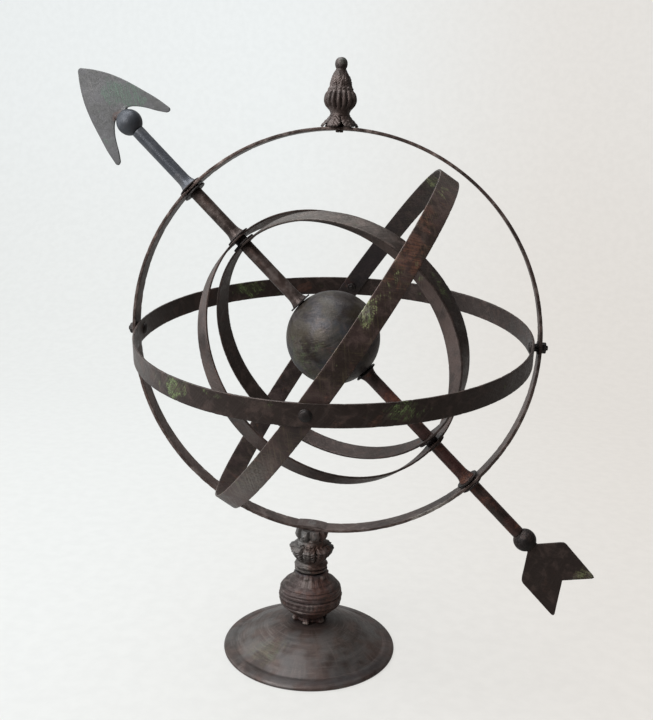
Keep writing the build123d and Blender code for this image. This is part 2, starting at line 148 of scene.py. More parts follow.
def grid_faces(nu, nv, cu=True, cv=True):
    i = np.arange(nu if cu else nu - 1)
    j = np.arange(nv if cv else nv - 1)
    a, b = np.meshgrid(i, j, indexing="ij")
    a2, b2 = (a + 1) % nu, (b + 1) % nv
    return np.stack([a * nv + b, a2 * nv + b, a2 * nv + b2, a * nv + b2], -1).reshape(-1, 4).tolist()


def catmull(pts, n=8):
    """Dense points of a smooth curve through pts (open)."""
    p = np.asarray(pts, float)
    p = np.vstack([2 * p[0] - p[1], p, 2 * p[-1] - p[-2]])
    out = []
    for k in range(1, len(p) - 2):
        p0, p1, p2, p3 = p[k - 1], p[k], p[k + 1], p[k + 2]
        d0, d1, d2 = [max(np.linalg.norm(b - a), 1e-6) ** 0.5 for a, b in ((p0, p1), (p1, p2), (p2, p3))]
        m1 = (p1 - p0) / d0 - (p2 - p0) / (d0 + d1) + (p2 - p1) / d1
        m2 = (p2 - p1) / d1 - (p3 - p1) / (d1 + d2) + (p3 - p2) / d2
        m1, m2 = m1 * d1, m2 * d1
        for t in np.linspace(0, 1, n, endpoint=False):
            out.append((2 * t ** 3 - 3 * t ** 2 + 1) * p1 + (t ** 3 - 2 * t ** 2 + t) * m1
                       + (-2 * t ** 3 + 3 * t ** 2) * p2 + (t ** 3 - t ** 2) * m2)
    out.append(p[-2])
    return np.array(out)


def rounded(pts, rad, n=3, closed=True):
    """Polyline with each corner replaced by a small arc."""
    p = np.asarray(pts, float)
    m = len(p)
    rad = [rad] * m if np.isscalar(rad) else list(rad)
    out = []
    for k in range(m):
        if not closed and k in (0, m - 1) or rad[k] <= 0:
            out.append(p[k])
            continue
        a, b, c = p[k - 1], p[k], p[(k + 1) % m]
        la, lc = np.linalg.norm(a - b), np.linalg.norm(c - b)
        t = min(rad[k], 0.45 * la, 0.45 * lc)
        q0, q1 = b + (a - b) / la * t, b + (c - b) / lc * t
        for s in np.linspace(0, 1, n + 1):
            out.append((1 - s) ** 2 * q0 + 2 * s * (1 - s) * b + s ** 2 * q1)
    return np.array(out)


def densify(p, step, closed=True):
    p = np.asarray(p, float)
    q = np.vstack([p, p[:1]]) if closed else p
    out = []
    for a, b in zip(q[:-1], q[1:]):
        n = max(1, int(math.ceil(np.linalg.norm(b - a) / step)))
        for t in range(n):
            out.append(a + (b - a) * t / n)
    if not closed:
        out.append(q[-1])
    return np.array(out)


def lathe(prof, nu=128, relief=None):
    """Vertices and faces of a body turned about Z from an (r, z) outline. The
    outline is a closed loop, or runs from pole to pole."""
    prof = np.asarray(prof, float)
    p0, p1 = prof[0, 0] < 1e-6, prof[-1, 0] < 1e-6
    core = prof[(1 if p0 else 0):(len(prof) - 1 if p1 else len(prof))]
    ns = len(core)
    th = np.linspace(0, 2 * np.pi, nu, endpoint=False) + np.pi / 2
    t, r = np.meshgrid(th, core[:, 0], indexing="ij")
    _, z = np.meshgrid(th, core[:, 1], indexing="ij")
    if relief is not None:
        r, z = relief(t, r, z)
    v = np.stack([r * np.cos(t), r * np.sin(t), z], -1).reshape(-1, 3)
    f = grid_faces(nu, ns, True, not (p0 or p1))
    if p0:
        v = np.vstack([v, [[0, 0, prof[0, 1]]]])
        k = len(v) - 1
        f += [[k, ((i + 1) % nu) * ns, i * ns] for i in range(nu)]
    if p1:
        v = np.vstack([v, [[0, 0, prof[-1, 1]]]])
        k = len(v) - 1
        f += [[k, i * ns + ns - 1, ((i + 1) % nu) * ns + ns - 1] for i in range(nu)]
    return v, f


def ring_disc(r, z0, z1, bore, nu=72, rad=0.25, cup=0.0, wob=0.0, seed=0):
    """Turned washer or spacer with broken edges; wob makes it slightly uneven. The cup argument is not used."""
    prof = densify(rounded([(bore, z0), (r, z0), (r, z1), (bore, z1)], [0.1, rad, rad, 0.1], 3), 1.2)

    def relief(t, rr, zz):
        if wob:
            k = smooth(rr, bore + 1.0, r)
            rr = rr + wob * k * np.sin(2 * t + seed) * 0.6 + wob * k * np.sin(5 * t + 2.1 * seed) * 0.4 - wob * k
        return rr, zz
    return lathe(prof, nu, relief)


def hex_body(af, z0, z1, bore, nu=96):
    """Hexagon nut with both faces chamfered on a cone."""
    rc = af / 2 / math.cos(math.pi / 6)
    h = z1 - z0
    prof = densify([(bore + 0.35, z0), (rc - 0.75, z0), (rc + 0.05, z0 + 0.5), (rc + 0.05, z1 - 0.5), (rc - 0.75, z1),
                    (bore + 0.35, z1), (bore, z1 - 0.35), (bore, z0 + 0.35)], 0.45)

    def relief(t, rr, zz):
        a = (t + np.pi / 6) % (np.pi / 3) - np.pi / 6
        lim = af / 2 / np.cos(a)
        lim = np.minimum(lim, rc - 0.12)
        out = np.where(rr > bore + 0.5, np.minimum(rr, lim), rr)
        return out, zz
    return lathe(prof, nu, relief)


def join(parts):
    """parts: (local vertices, faces, matrix) -> world vertices, local vertices, faces."""
    w, l, f, n = [], [], [], 0
    for v, fs, m in parts:
        w.append(apply(m, v))
        l.append(v)
        f += [[i + n for i in q] for q in fs]
        n += len(v)
    return np.vstack(w), np.vstack(l), f


def read(me, what):
    n = len(me.vertices) * 3
    a = np.empty(n, np.float32)
    if what == "co":
        me.vertices.foreach_get("co", a)
    else:
        me.vertex_normals.foreach_get("vector", a)
    return a.reshape(-1, 3).astype(float)


def curvature(me, passes=1):
    n = len(me.vertices)
    co, no = read(me, "co"), read(me, "no")
    ed = np.empty(len(me.edges) * 2, np.int32)
    me.edges.foreach_get("vertices", ed)
    ed = ed.reshape(-1, 2)
    d = co[ed[:, 1]] - co[ed[:, 0]]
    ln = np.linalg.norm(d, axis=1) + 1e-9
    c0 = -(d * no[ed[:, 0]]).sum(1) / ln
    c1 = (d * no[ed[:, 1]]).sum(1) / ln
    cnt = np.bincount(ed[:, 0], minlength=n) + np.bincount(ed[:, 1], minlength=n) + 1e-9
    c = (np.bincount(ed[:, 0], c0, n) + np.bincount(ed[:, 1], c1, n)) / cnt
    for _ in range(passes):
        c = 0.5 * c + 0.5 * (np.bincount(ed[:, 0], c[ed[:, 1]], n) + np.bincount(ed[:, 1], c[ed[:, 0]], n)) / cnt
    return c


def put(me, name, data):
    data = np.asarray(data, np.float32)
    kind = "FLOAT" if data.ndim == 1 else "FLOAT_VECTOR"
    a = me.attributes.get(name) or me.attributes.new(name, kind, "POINT")
    a.data.foreach_set("value" if kind == "FLOAT" else "vector", data.ravel())


def outward(me):
    bm = bmesh.new()
    bm.from_mesh(me)
    bmesh.ops.recalc_face_normals(bm, faces=bm.faces)
    bm.to_mesh(me)
    bm.free()


def cutter(v, f, m):
    me = bpy.data.meshes.new("cut")
    me.from_pydata((apply(m, v) / 1000).tolist(), [], f)
    outward(me)
    o = bpy.data.objects.new("cut", me)
    bpy.context.scene.collection.objects.link(o)
    return o


def piece(name, parts, body, mat, stands_for, noise=(), mask=None, coords=None, patches=None,
          cuts=(), sharp=36.0, remesh=None, cv_passes=1, post=None):
    """Builds one visible piece: mesh, holes, surface unevenness, attributes, material."""
    w, l, f = join(parts)
    base_m = parts[0][2]
    me = bpy.data.meshes.new(name)
    me.from_pydata((w / 1000).tolist(), [], f)
    outward(me)
    ob = bpy.data.objects.new(name, me)
    bpy.context.scene.collection.objects.link(ob)
    changed = False
    if cuts:
        tools = [cutter(*c) for c in cuts]
        for tool in tools:
            mod = ob.modifiers.new("cut", "BOOLEAN")
            mod.operation, mod.object, mod.solver = "DIFFERENCE", tool, "EXACT"
        changed = True
    if remesh:
        mod = ob.modifiers.new("skin", "REMESH")
        mod.mode, mod.voxel_size, mod.adaptivity = "VOXEL", remesh[0] / 1000, 0.0
        if remesh[1]:
            mod = ob.modifiers.new("soften", "SMOOTH")
            mod.factor, mod.iterations = 0.5, remesh[1]
        changed = True
    if changed:
        dg = bpy.context.evaluated_depsgraph_get()
        new = bpy.data.meshes.new_from_object(ob.evaluated_get(dg))
        ob.modifiers.clear()
        old = ob.data
        ob.data = me = new
        bpy.data.meshes.remove(old)
        me.name = name
        if cuts:
            for tool in tools:
                dat = tool.data
                bpy.data.objects.remove(tool)
                bpy.data.meshes.remove(dat)
        inv = np.linalg.inv(base_m)
        l = apply(inv, read(me, "co") * 1000)
    if noise or post:
        co, no = read(me, "co") * 1000, read(me, "no")
        d = np.zeros(len(co))
        for amp, size, seed in noise:
            d += amp * fbm(l / size + seed * 7.31, seed)
        if mask is not None:
            d *= mask(l)
        if post is not None:
            d = post(l, co, no, d)
        co = co + no * d[:, None]
        co[:, 2] = np.maximum(co[:, 2], 0.0)
        me.vertices.foreach_set("co", (co / 1000).astype(np.float32).ravel())
        me.update()
    tc, s1, s2 = (coords or generic)(l)
    put(me, "tc", tc)
    put(me, "s1", s1)
    put(me, "s2", s2)
    put(me, "cv", curvature(me, cv_passes))
    blobs = {"pg": np.zeros(len(l)), "pr": np.zeros(len(l)), "pl": np.zeros(len(l)), "pk": np.zeros(len(l))}
    if patches is not None:
        for key, val in patches(l).items():
            blobs[key] = val
    for key, val in blobs.items():
        put(me, key, val)
    me.polygons.foreach_set("use_smooth", np.ones(len(me.polygons), bool))
    me.set_sharp_from_angle(angle=math.radians(sharp))
    me.materials.clear()
    me.materials.append(mat)
    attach(ob, body)
    if stands_for:
        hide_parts(*([stands_for] if isinstance(stands_for, str) else stands_for))
    return ob


def generic(l, w=1.1, ln=14.0):
    """Brushing round the turned axis, and along it."""
    s1 = np.stack([l[:, 0] / ln, l[:, 1] / ln, l[:, 2] / w], -1)
    s2 = np.stack([l[:, 0] / w, l[:, 1] / w, l[:, 2] / ln], -1)
    return l, s1, s2


def ring_coords(r_mid, a1=52.0, a2=-24.0, w=1.25, ln=30.0):
    """Two crossing sets of brush strokes laid on a band."""
    def f(l):
        th = np.arctan2(l[:, 1], l[:, 0])
        r = np.hypot(l[:, 0], l[:, 1])
        out = []
        for a in (a1, a2):
            s = math.sin(math.radians(a))
            t2 = th - l[:, 2] / math.tan(math.radians(a)) / r_mid
            out.append(np.stack([r * np.cos(t2) * s / w, r * np.sin(t2) * s / w, l[:, 2] / (ln * s)], -1))
        return l, out[0], out[1]
    return f


# -------------------------------------------------------------------- materials
PALETTE = dict(
    black=(0.014, 0.0105, 0.0098), umber=(0.036, 0.0245, 0.021), brown=(0.086, 0.058, 0.050),
    greybrown=(0.150, 0.123, 0.113), rust=(0.180, 0.066, 0.036), maroon=(0.090, 0.036, 0.032),
    olive=(0.135, 0.112, 0.060), green=(0.190, 0.270, 0.100), verdigris=(0.150, 0.230, 0.180),
    steel=(0.230, 0.222, 0.222), blue=(0.085, 0.093, 0.108), ink=(0.016, 0.0155, 0.019), bone=(0.40, 0.375, 0.34), iron=(0.150, 0.151, 0.158),
    slate=(0.110, 0.112, 0.112), plum=(0.066, 0.040, 0.038), moss=(0.075, 0.100, 0.035), lime=(0.30, 0.34, 0.15))


class Net:
    def __init__(self, mat):
        mat.use_nodes = True
        self.t = mat.node_tree
        self.t.nodes.clear()

    def n(self, kind, **props):
        node = self.t.nodes.new(kind)
        for k, v in props.items():
            setattr(node, k, v)
        return node

    def feed(self, socket, value):
        if isinstance(value, bpy.types.NodeSocket):
            self.t.links.new(value, socket)
        elif socket.type == "RGBA" and isinstance(value, (int, float)):
            socket.default_value = (value, value, value, 1.0)
        elif isinstance(value, tuple) and len(value) == 3 and socket.type == "RGBA":
            socket.default_value = (*value, 1.0)
        else:
            socket.default_value = value

    def attr(self, name, vector=False):
        node = self.n("ShaderNodeAttribute", attribute_name=name)
        return node.outputs["Vector" if vector else "Fac"]

    def math(self, op, a, b=0.0, c=None, clamp=False):
        node = self.n("ShaderNodeMath", operation=op, use_clamp=clamp)
        self.feed(node.inputs[0], a)
        self.feed(node.inputs[1], b)
        if c is not None:
            self.feed(node.inputs[2], c)
        return node.outputs[0]

    def shift(self, vec, off, scale=1.0):
        node = self.n("ShaderNodeMapping")
        self.feed(node.inputs["Vector"], vec)
        node.inputs["Location"].default_value = off
        node.inputs["Scale"].default_value = (scale,) * 3
        return node.outputs[0]

    def noise(self, vec, scale=1.0, detail=3.0, rough=0.55, dist=0.0):
        node = self.n("ShaderNodeTexNoise")
        self.feed(node.inputs["Vector"], vec)
        node.inputs["Scale"].default_value = scale
        node.inputs["Detail"].default_value = detail
        node.inputs["Roughness"].default_value = rough
        node.inputs["Distortion"].default_value = dist
        return node.outputs["Fac"]

    def step(self, v, a, b, lo=0.0, hi=1.0):
        node = self.n("ShaderNodeMapRange", interpolation_type="SMOOTHSTEP")
        self.feed(node.inputs["Value"], v)
        for k, val in (("From Min", a), ("From Max", b), ("To Min", lo), ("To Max", hi)):
            self.feed(node.inputs[k], val)
        return node.outputs[0]

    def mix(self, fac, a, b, mode="MIX"):
        node = self.n("ShaderNodeMix", data_type="RGBA", blend_type=mode)
        self.feed(node.inputs[0], fac)
        self.feed(node.inputs[6], a)
        self.feed(node.inputs[7], b)
        return node.outputs[2]

    def mixf(self, fac, a, b):
        node = self.n("ShaderNodeMix", data_type="FLOAT")
        self.feed(node.inputs[0], fac)
        self.feed(node.inputs[2], a)
        self.feed(node.inputs[3], b)
        return node.outputs[0]


def patina(name, dark="black", mid="umber", light="brown", stroke_col="greybrown", stroke=0.5, metallic=0.55,
           rough=(0.36, 0.56), rust=0.35, rust_lv=0.60, green=0.5, green_lv=0.66, wear=0.6, wear_col="steel",
           bump=1.0, scale=1.0, seed=0.0, tint=None, tint_amt=0.0, spec=0.5, stroke_lv=(0.50, 0.68), cross=0.8, green_a="olive", green_b="green", gain=1.0, crevice_shade_floor=0.35):
    """Brushed, waxed iron patina: mottled dark ground, crossing brush strokes,
    rust blooms, verdigris speckle, rubbed edges, and crevices darkened as patina in the hollows deepened by painted
    shade."""
    mat = bpy.data.materials.new(name)
    g = Net(mat)
    P = PALETTE
    tc = g.attr("tc", True)
    off = (seed * 3.7, seed * 1.9 + 11.0, seed * 5.3 - 4.0)
    v1, v2 = g.shift(g.attr("s1", True), off), g.shift(g.attr("s2", True), (off[1], off[2], off[0]))
    big = g.noise(g.shift(tc, off), 0.022 * scale, 2.0, 0.5)
    med = g.noise(g.shift(tc, (off[2], off[0], off[1])), 0.085 * scale, 4.0, 0.6, 0.4)
    fine = g.noise(g.shift(tc, off), 0.55 * scale, 5.0, 0.65)
    grain = g.noise(tc, 2.3, 2.0, 0.6)
    st1, st2 = g.noise(v1, 1.0, 3.0, 0.62), g.noise(v2, 1.0, 3.0, 0.62)
    a1 = g.step(st1, *stroke_lv)
    a2 = g.math("MULTIPLY", g.step(st2, *stroke_lv), cross)
    both = g.math("MAXIMUM", a1, a2)
    patchy = g.step(g.noise(g.shift(tc, (3.0, 8.0, off[0])), 0.06 * scale, 3.0, 0.5), 0.36, 0.62, 0.25, 1.0)
    strokes = g.math("MULTIPLY", both, patchy)
    ground = g.mix(g.step(g.math("MULTIPLY_ADD", big, 0.6, g.math("MULTIPLY", med, 0.4)), 0.40, 0.62), P[dark], P[mid])
    ground = g.mix(g.step(med, 0.48, 0.68, 0.0, 0.75), ground, P[light])
    if tint:
        ground = g.mix(g.step(g.noise(g.shift(tc, (off[0] - 9.0, 2.0, 5.0)), 0.05 * scale, 2.0), 0.42, 0.62, 0.0, tint_amt), ground, P[tint])
    col = g.mix(g.math("MULTIPLY", strokes, stroke), ground, P[stroke_col])
    # dark pk patches: painted shade on the zodiac, dish, bulb, seat plate, finial tip and top of the ball; a real dark
    # weld on the arrow head
    col = g.mix(g.math("MULTIPLY", g.attr("pk"), 0.85, clamp=True), col, P["ink"])
    # rust blooms, stronger where the piece carries them
    rf = g.math("ADD", g.noise(g.shift(tc, (off[1] + 5, 1.0, 7.0)), 0.055 * scale, 4.0, 0.6, 0.6), g.math("MULTIPLY", g.attr("pr"), 0.34))
    rm = g.math("MULTIPLY", g.step(rf, rust_lv, rust_lv + 0.13), g.step(g.math("ADD", st2, g.math("MULTIPLY", fine, 0.5)), 0.62, 0.92, 0.25, 1.0))
    rm = g.math("MULTIPLY", rm, rust, clamp=True)
    col = g.mix(rm, col, P["rust"])
    # verdigris
    gf = g.math("ADD", g.noise(g.shift(tc, (2.0, off[0] + 6, off[1])), 0.07 * scale, 5.0, 0.62, 0.5), g.math("MULTIPLY", g.attr("pg"), 0.36))
    sp = g.step(g.math("MULTIPLY_ADD", g.noise(tc, 0.9, 4.0, 0.7), 0.6, g.math("MULTIPLY", st1, 0.4)), 0.44, 0.60)
    gm = g.math("MULTIPLY", g.math("MULTIPLY", g.step(gf, green_lv, green_lv + 0.14), sp), green, clamp=True)
    gcol = g.mix(g.step(g.noise(tc, 0.16, 2.0), 0.4, 0.6), P[green_a], P[green_b])
    col = g.mix(gm, col, gcol)
    # paler patches from pl: painted highlight on the horizon and zodiac left ends, the bulb's petal tips and the left
    # sides of capital and dish; other pl patches are simply paler areas
    pm = g.math("MULTIPLY", g.attr("pl"), g.step(g.math("ADD", fine, g.math("MULTIPLY", st1, 0.5)), 0.55, 0.9, 0.2, 1.0), clamp=True)
    col = g.mix(pm, col, P["bone"])
    # rubbed edges, and crevices darkened: patina in the hollows, deepened as painted shade
    cv = g.attr("cv")
    wm = g.math("MULTIPLY", g.step(g.math("ADD", cv, g.math("MULTIPLY", g.math("SUBTRACT", fine, 0.5), 0.30)), 0.10, 0.30), wear, clamp=True)
    col = g.mix(wm, col, P[wear_col])
    crevice_shade = g.step(cv, -0.22, -0.02, crevice_shade_floor, 1.0)
    col = g.mix(1.0, col, crevice_shade, "MULTIPLY")
    speck = g.step(grain, 0.30, 0.70, 0.86 * gain, 1.14 * gain)
    col = g.mix(1.0, col, speck, "MULTIPLY")
    r = g.mixf(g.step(g.math("MULTIPLY_ADD", fine, 0.5, g.math("MULTIPLY", med, 0.5)), 0.38, 0.62), rough[0], rough[1])
    r = g.math("ADD", r, g.math("MULTIPLY", g.math("MAXIMUM", gm, rm), 0.20))
    r = g.math("SUBTRACT", r, g.math("MULTIPLY", strokes, 0.07), clamp=True)
    me_ = g.math("MULTIPLY", g.math("SUBTRACT", 1.0, g.math("MULTIPLY", g.math("MAXIMUM", gm, rm), 0.75)), metallic)
    hgt = g.math("ADD", g.math("MULTIPLY", both, 0.35), g.math("MULTIPLY", fine, 0.55))
    hgt = g.math("ADD", hgt, g.math("MULTIPLY", grain, 0.25))
    hgt = g.math("ADD", hgt, g.math("MULTIPLY", gm, 0.5))
    b = g.n("ShaderNodeBump")
    b.inputs["Strength"].default_value = min(1.0, 0.55 * bump)
    b.inputs["Distance"].default_value = 0.00022 * bump
    g.feed(b.inputs["Height"], hgt)
    s = g.n("ShaderNodeBsdfPrincipled")
    g.feed(s.inputs["Base Color"], col)
    g.feed(s.inputs["Metallic"], me_)
    g.feed(s.inputs["Roughness"], r)
    s.inputs["Specular IOR Level"].default_value = spec
    g.feed(s.inputs["Normal"], b.outputs[0])
    o = g.n("ShaderNodeOutputMaterial")
    g.t.links.new(s.outputs[0], o.inputs[0])
    return mat


M_HOOP = patina("patina_hoop", dark="umber", mid="brown", light="greybrown", stroke=0.40, rust=0.2, green=0.25, wear=0.75, seed=1.0, gain=1.3)
M_HOR = patina("patina_horizon", dark="umber", mid="umber", light="brown", stroke=0.18, rust=0.40, rust_lv=0.62, green=0.95, green_lv=0.62, wear=0.55, seed=2.0, gain=1.0,
               green_a="moss", green_b="green")
M_ZOD = patina("patina_zodiac", dark="umber", mid="plum", light="brown", stroke_col="olive", stroke=0.40, rust=0.50, rust_lv=0.60, green=0.95, green_lv=0.66, wear=0.85, seed=3.0, gain=1.2,
               green_a="moss", green_b="lime")
M_INL = patina("patina_band_large", dark="umber", mid="brown", light="brown", stroke=0.28, rust=0.3, green=0.6, green_lv=0.70, wear=0.45, seed=4.0)
M_INS = patina("patina_band_small", dark="umber", mid="umber", light="brown", stroke=0.26, rust=0.3, green=0.7, green_lv=0.68, wear=0.45, seed=5.0, green_a="moss")
M_BALL = patina("patina_ball", dark="umber", mid="blue", light="greybrown", stroke_col="greybrown", stroke=0.55, rust=0.35, rust_lv=0.64, green=0.45, green_lv=0.62,
                wear=0.0, seed=6.0, rough=(0.40, 0.55), tint="olive", tint_amt=0.35, stroke_lv=(0.46, 0.66), gain=0.66)
M_CAST = patina("patina_cast", dark="umber", mid="plum", light="greybrown", stroke=0.22, rust=0.40, rust_lv=0.56, green=0.12, green_lv=0.72, wear=0.75, wear_col="greybrown", seed=7.0,
                rough=(0.42, 0.62), bump=1.3, metallic=0.42, gain=0.95)
# The capital and finial have their crevices darkened much further, as painted shade in the grooves.
M_CAP = patina("patina_capital", dark="umber", mid="slate", light="greybrown", stroke=0.2, rust=0.40, rust_lv=0.60, green=0.1, wear=0.9, wear_col="steel", seed=19.0,
               rough=(0.38, 0.56), bump=1.2, metallic=0.45, gain=0.85, crevice_shade_floor=0.15)
M_FINIAL = patina("patina_finial", dark="umber", mid="brown", light="greybrown", stroke=0.2, rust=0.12, green=0.5, green_lv=0.66, wear=0.95, wear_col="steel", seed=18.0,
                  rough=(0.38, 0.56), bump=1.2, metallic=0.45, gain=0.88, crevice_shade_floor=0.12, green_a="verdigris", green_b="verdigris")
M_DISH = patina("patina_dish", dark="umber", mid="brown", light="brown", stroke=0.42, rust=0.18, rust_lv=0.66, green=0.45, green_lv=0.66, wear=0.35, seed=8.0,
                rough=(0.40, 0.56), tint="slate", tint_amt=0.45, metallic=0.5, scale=0.8, green_a="olive", green_b="moss", gain=1.04)
M_TUBE_DARK = patina("patina_tube_dark", dark="blue", mid="blue", light="iron", stroke=0.25, stroke_col="iron", rust=0.12, green=0.1, wear=0.4, seed=9.0, rough=(0.38, 0.52), gain=0.85)
M_END_DARK = patina("patina_end_ball", dark="blue", mid="blue", light="blue", stroke=0.25, stroke_col="iron", rust=0.1, green=0.1, wear=0.4, seed=16.0, rough=(0.46, 0.60), gain=0.78)
M_END_TAIL = patina("patina_tail_ball", dark="black", mid="umber", light="brown", stroke=0.35, rust=0.3, rust_lv=0.64, green=0.1, wear=0.4, seed=17.0, rough=(0.46, 0.60), gain=0.8)
M_TUBE_BROWN = patina("patina_tube_brown", dark="umber", mid="brown", light="greybrown", stroke=0.30, rust=0.30, rust_lv=0.58, green=0.15, wear=0.4, seed=10.0, gain=1.05)
M_TUBE_RUST = patina("patina_tube_rust", dark="umber", mid="maroon", light="brown", stroke=0.3, rust=0.75, rust_lv=0.48, green=0.25, green_lv=0.7, wear=0.5, seed=11.0)
M_BLACK = patina("patina_fastener", dark="black", mid="black", light="umber", stroke=0.2, rust=0.15, green=0.05, wear=0.45, wear_col="greybrown", seed=12.0, rough=(0.40, 0.6), metallic=0.4)
M_HEAD = patina("patina_arrow_head", dark="slate", mid="iron", light="iron", stroke_col="steel", stroke=0.32, rust=0.35, rust_lv=0.72, green=0.9, green_lv=0.60, wear=0.7, wear_col="umber", seed=13.0,
                rough=(0.46, 0.60), green_a="verdigris", green_b="verdigris", cross=0.25, gain=0.80)
M_TAIL = patina("patina_arrow_tail", dark="umber", mid="umber", light="brown", stroke=0.12, rust=0.15, rust_lv=0.64, green=0.7, green_lv=0.66, wear=0.5, seed=14.0, rough=(0.46, 0.62), green_a="olive", green_b="lime", gain=0.9)
M_ROD = patina("plain_rod", dark="brown", mid="greybrown", light="steel", stroke=0.5, stroke_col="steel", rust=0.15, green=0.0, wear=0.4, seed=15.0, metallic=0.9, rough=(0.28, 0.42))

# ------------------------------------------------------------------------ bands


def band_mesh(r_mid, t, w, nu, e=0.45, wave=0.0, seed=0):
    """Flat bar rolled into a ring about Z: fine grid, rounded edges."""
    h = w / 2
    n_f = max(8, int(w / 1.3))
    pts, fl = [], []
    for z in np.linspace(-(h - e), h - e, n_f):
        pts.append((t / 2, z))
    arc = [math.radians(a) for a in (22, 45, 68)]
    for a in arc:
        pts.append((t / 2 - e + e * math.cos(a), h - e + e * math.sin(a)))
    for x in np.linspace(t / 2 - e, -(t / 2 - e), 3):
        pts.append((x, h))
    for a in arc[::-1]:
        pts.append((-(t / 2 - e + e * math.cos(a)), h - e + e * math.sin(a)))
    for z in np.linspace(h - e, -(h - e), n_f):
        pts.append((-t / 2, z))
    for a in arc:
        pts.append((-(t / 2 - e + e * math.cos(a)), -(h - e + e * math.sin(a))))
    for x in np.linspace(-(t / 2 - e), t / 2 - e, 3):
        pts.append((x, -h))
    for a in arc[::-1]:
        pts.append((t / 2 - e + e * math.cos(a), -(h - e + e * math.sin(a))))
    pts = np.array(pts)
    th = np.linspace(0, 2 * np.pi, nu, endpoint=False) + 0.013
    tt, dr = np.meshgrid(th, pts[:, 0], indexing="ij")
    _, z = np.meshgrid(th, pts[:, 1], indexing="ij")
    if wave:
        z = z + wave * (np.sin(2 * tt + seed) * 0.6 + np.sin(5 * tt + 1.7 * seed) * 0.4) * np.cos(np.clip(0, 0, 0))
    r = r_mid + dr
    v = np.stack([r * np.cos(tt), r * np.sin(tt), z], -1).reshape(-1, 3)
    return v, grid_faces(nu, len(pts))


def radial_drill(theta, r_mid, radius, depth=8.0, n=48):
    prof = [(0, -depth), (radius, -depth), (radius, depth), (0, depth)]
    v, f = lathe(prof, n)
    return v, f, theta, r_mid


def hole_mask(r_mid, holes, clear=9.0):
    def f(l):
        th = np.arctan2(l[:, 1], l[:, 0])
        m = np.ones(len(l))
        for a, _ in holes:
            d = (th - math.radians(a) + np.pi) % (2 * np.pi) - np.pi
            m *= smooth(np.hypot(d * r_mid, l[:, 2]), clear, clear + 6.0)
        return m
    return f


def band_patches(r_mid, spots):
    """spots: (kind, degrees, across mm, half length mm, half width mm, amount, face)"""
    def f(l):
        th = np.degrees(np.arctan2(l[:, 1], l[:, 0])) % 360
        r = np.hypot(l[:, 0], l[:, 1])
        out = {}
        for kind, a, z, du, dz, amt, face in spots:
            d = (th - a + 180) % 360 - 180
            q = np.exp(-((np.radians(d) * r_mid / du) ** 2) - ((l[:, 2] - z) / dz) ** 2) * amt
            if face:
                q *= ((r - r_mid) * face > -0.2)
            out[kind] = out.get(kind, 0) + q
        return out
    return f


def nick_post(w, depth, seed, size=2.6):
    """Small dings along the two edges of a band."""
    def f(l, co, no, d):
        n = vnoise(np.stack([l[:, 0] / size, l[:, 1] / size, np.sign(l[:, 2]) * 3.0], -1), seed)
        edge = smooth(np.abs(l[:, 2]), w / 2 - 0.9, w / 2 - 0.1)
        return d - depth * edge * smooth(n, 0.35, 0.8)
    return f


def band(name, r_mid, t, w, m, holes, body, mat, node, spots, seed, amp=0.10, wave=0.0, a1=52.0, a2=-24.0, nick=0.22, nu=None):
    nu = nu or (900)
    v, f = band_mesh(r_mid, t, w, nu, wave=wave, seed=seed)
    cuts = []
    for a, rad in holes:
        cv_, cf = lathe([(0, -7.0), (rad, -7.0), (rad, 7.0), (0, 7.0)], 48)
        cuts.append((cv_, cf, m @ RZ(a) @ TR(r_mid, 0, 0) @ RY(90)))
    return piece(name, [(v, f, m)], body, mat, node,
                 noise=[(amp, 34.0, seed), (amp * 0.45, 7.0, seed + 3)], mask=hole_mask(r_mid, holes),
                 coords=ring_coords(r_mid, a1, a2), patches=band_patches(r_mid, spots), cuts=cuts,
                 post=nick_post(w, nick, seed), sharp=38)


stem_deg = 270.0 - math.degrees(math.asin(SX / MER_R))
band("hoop", MER_R, MER_T, MER_W, GLOBE @ RX(90),
     [(0, M5_R + 0.02), (180, M5_R + 0.02), (90, M5_R + 0.1), (90 + ARROW_ANGLE, TIE_R + RUN), (270 + ARROW_ANGLE, TIE_R + RUN), (stem_deg, STEM_ROD_R + 0.3)],
     "stand", M_HOOP, "meridian_ring",
     [("pl", 303, 8.6, 16, 1.6, 0.9, 0), ("pl", 297, 8.8, 6, 1.2, 0.7, 0), ("pl", 220, -8.4, 5, 1.5, 0.6, 0), ("pr", 60, 0, 60, 20, 0.5, 0)],
     21, amp=0.09, nick=0.35)
# The pl patches at 196 and 214 degrees are a painted highlight on the left end of the outer face.
band("horizon", HOR_R, HOR_T, HOR_W, HORIZON,
     [(0, M5_R + RUN), (180, M5_R + RUN), (90, M5_R + 0.02), (270, M5_R + 0.02)],
     "horizon", M_HOR, "horizon_ring",
     [("pg", 233, 0, 17, 9, 1.0, 1), ("pg", 294, 0, 17, 9, 1.0, 1), ("pg", 126, 2, 17, 8, 1.25, -1), ("pr", 107, -2, 8, 6, 1.5, -1),
      ("pr", 285, 2, 30, 9, 0.5, 1), ("pg", 248, 6, 12, 5, 0.4, 1), ("pg", 330, 0, 20, 8, 0.3, 1), ("pl", 196, 0, 26, 14, 0.30, 1),
      ("pl", 214, 0, 34, 14, 0.10, 1)],
     22, amp=0.06, nick=0.2)
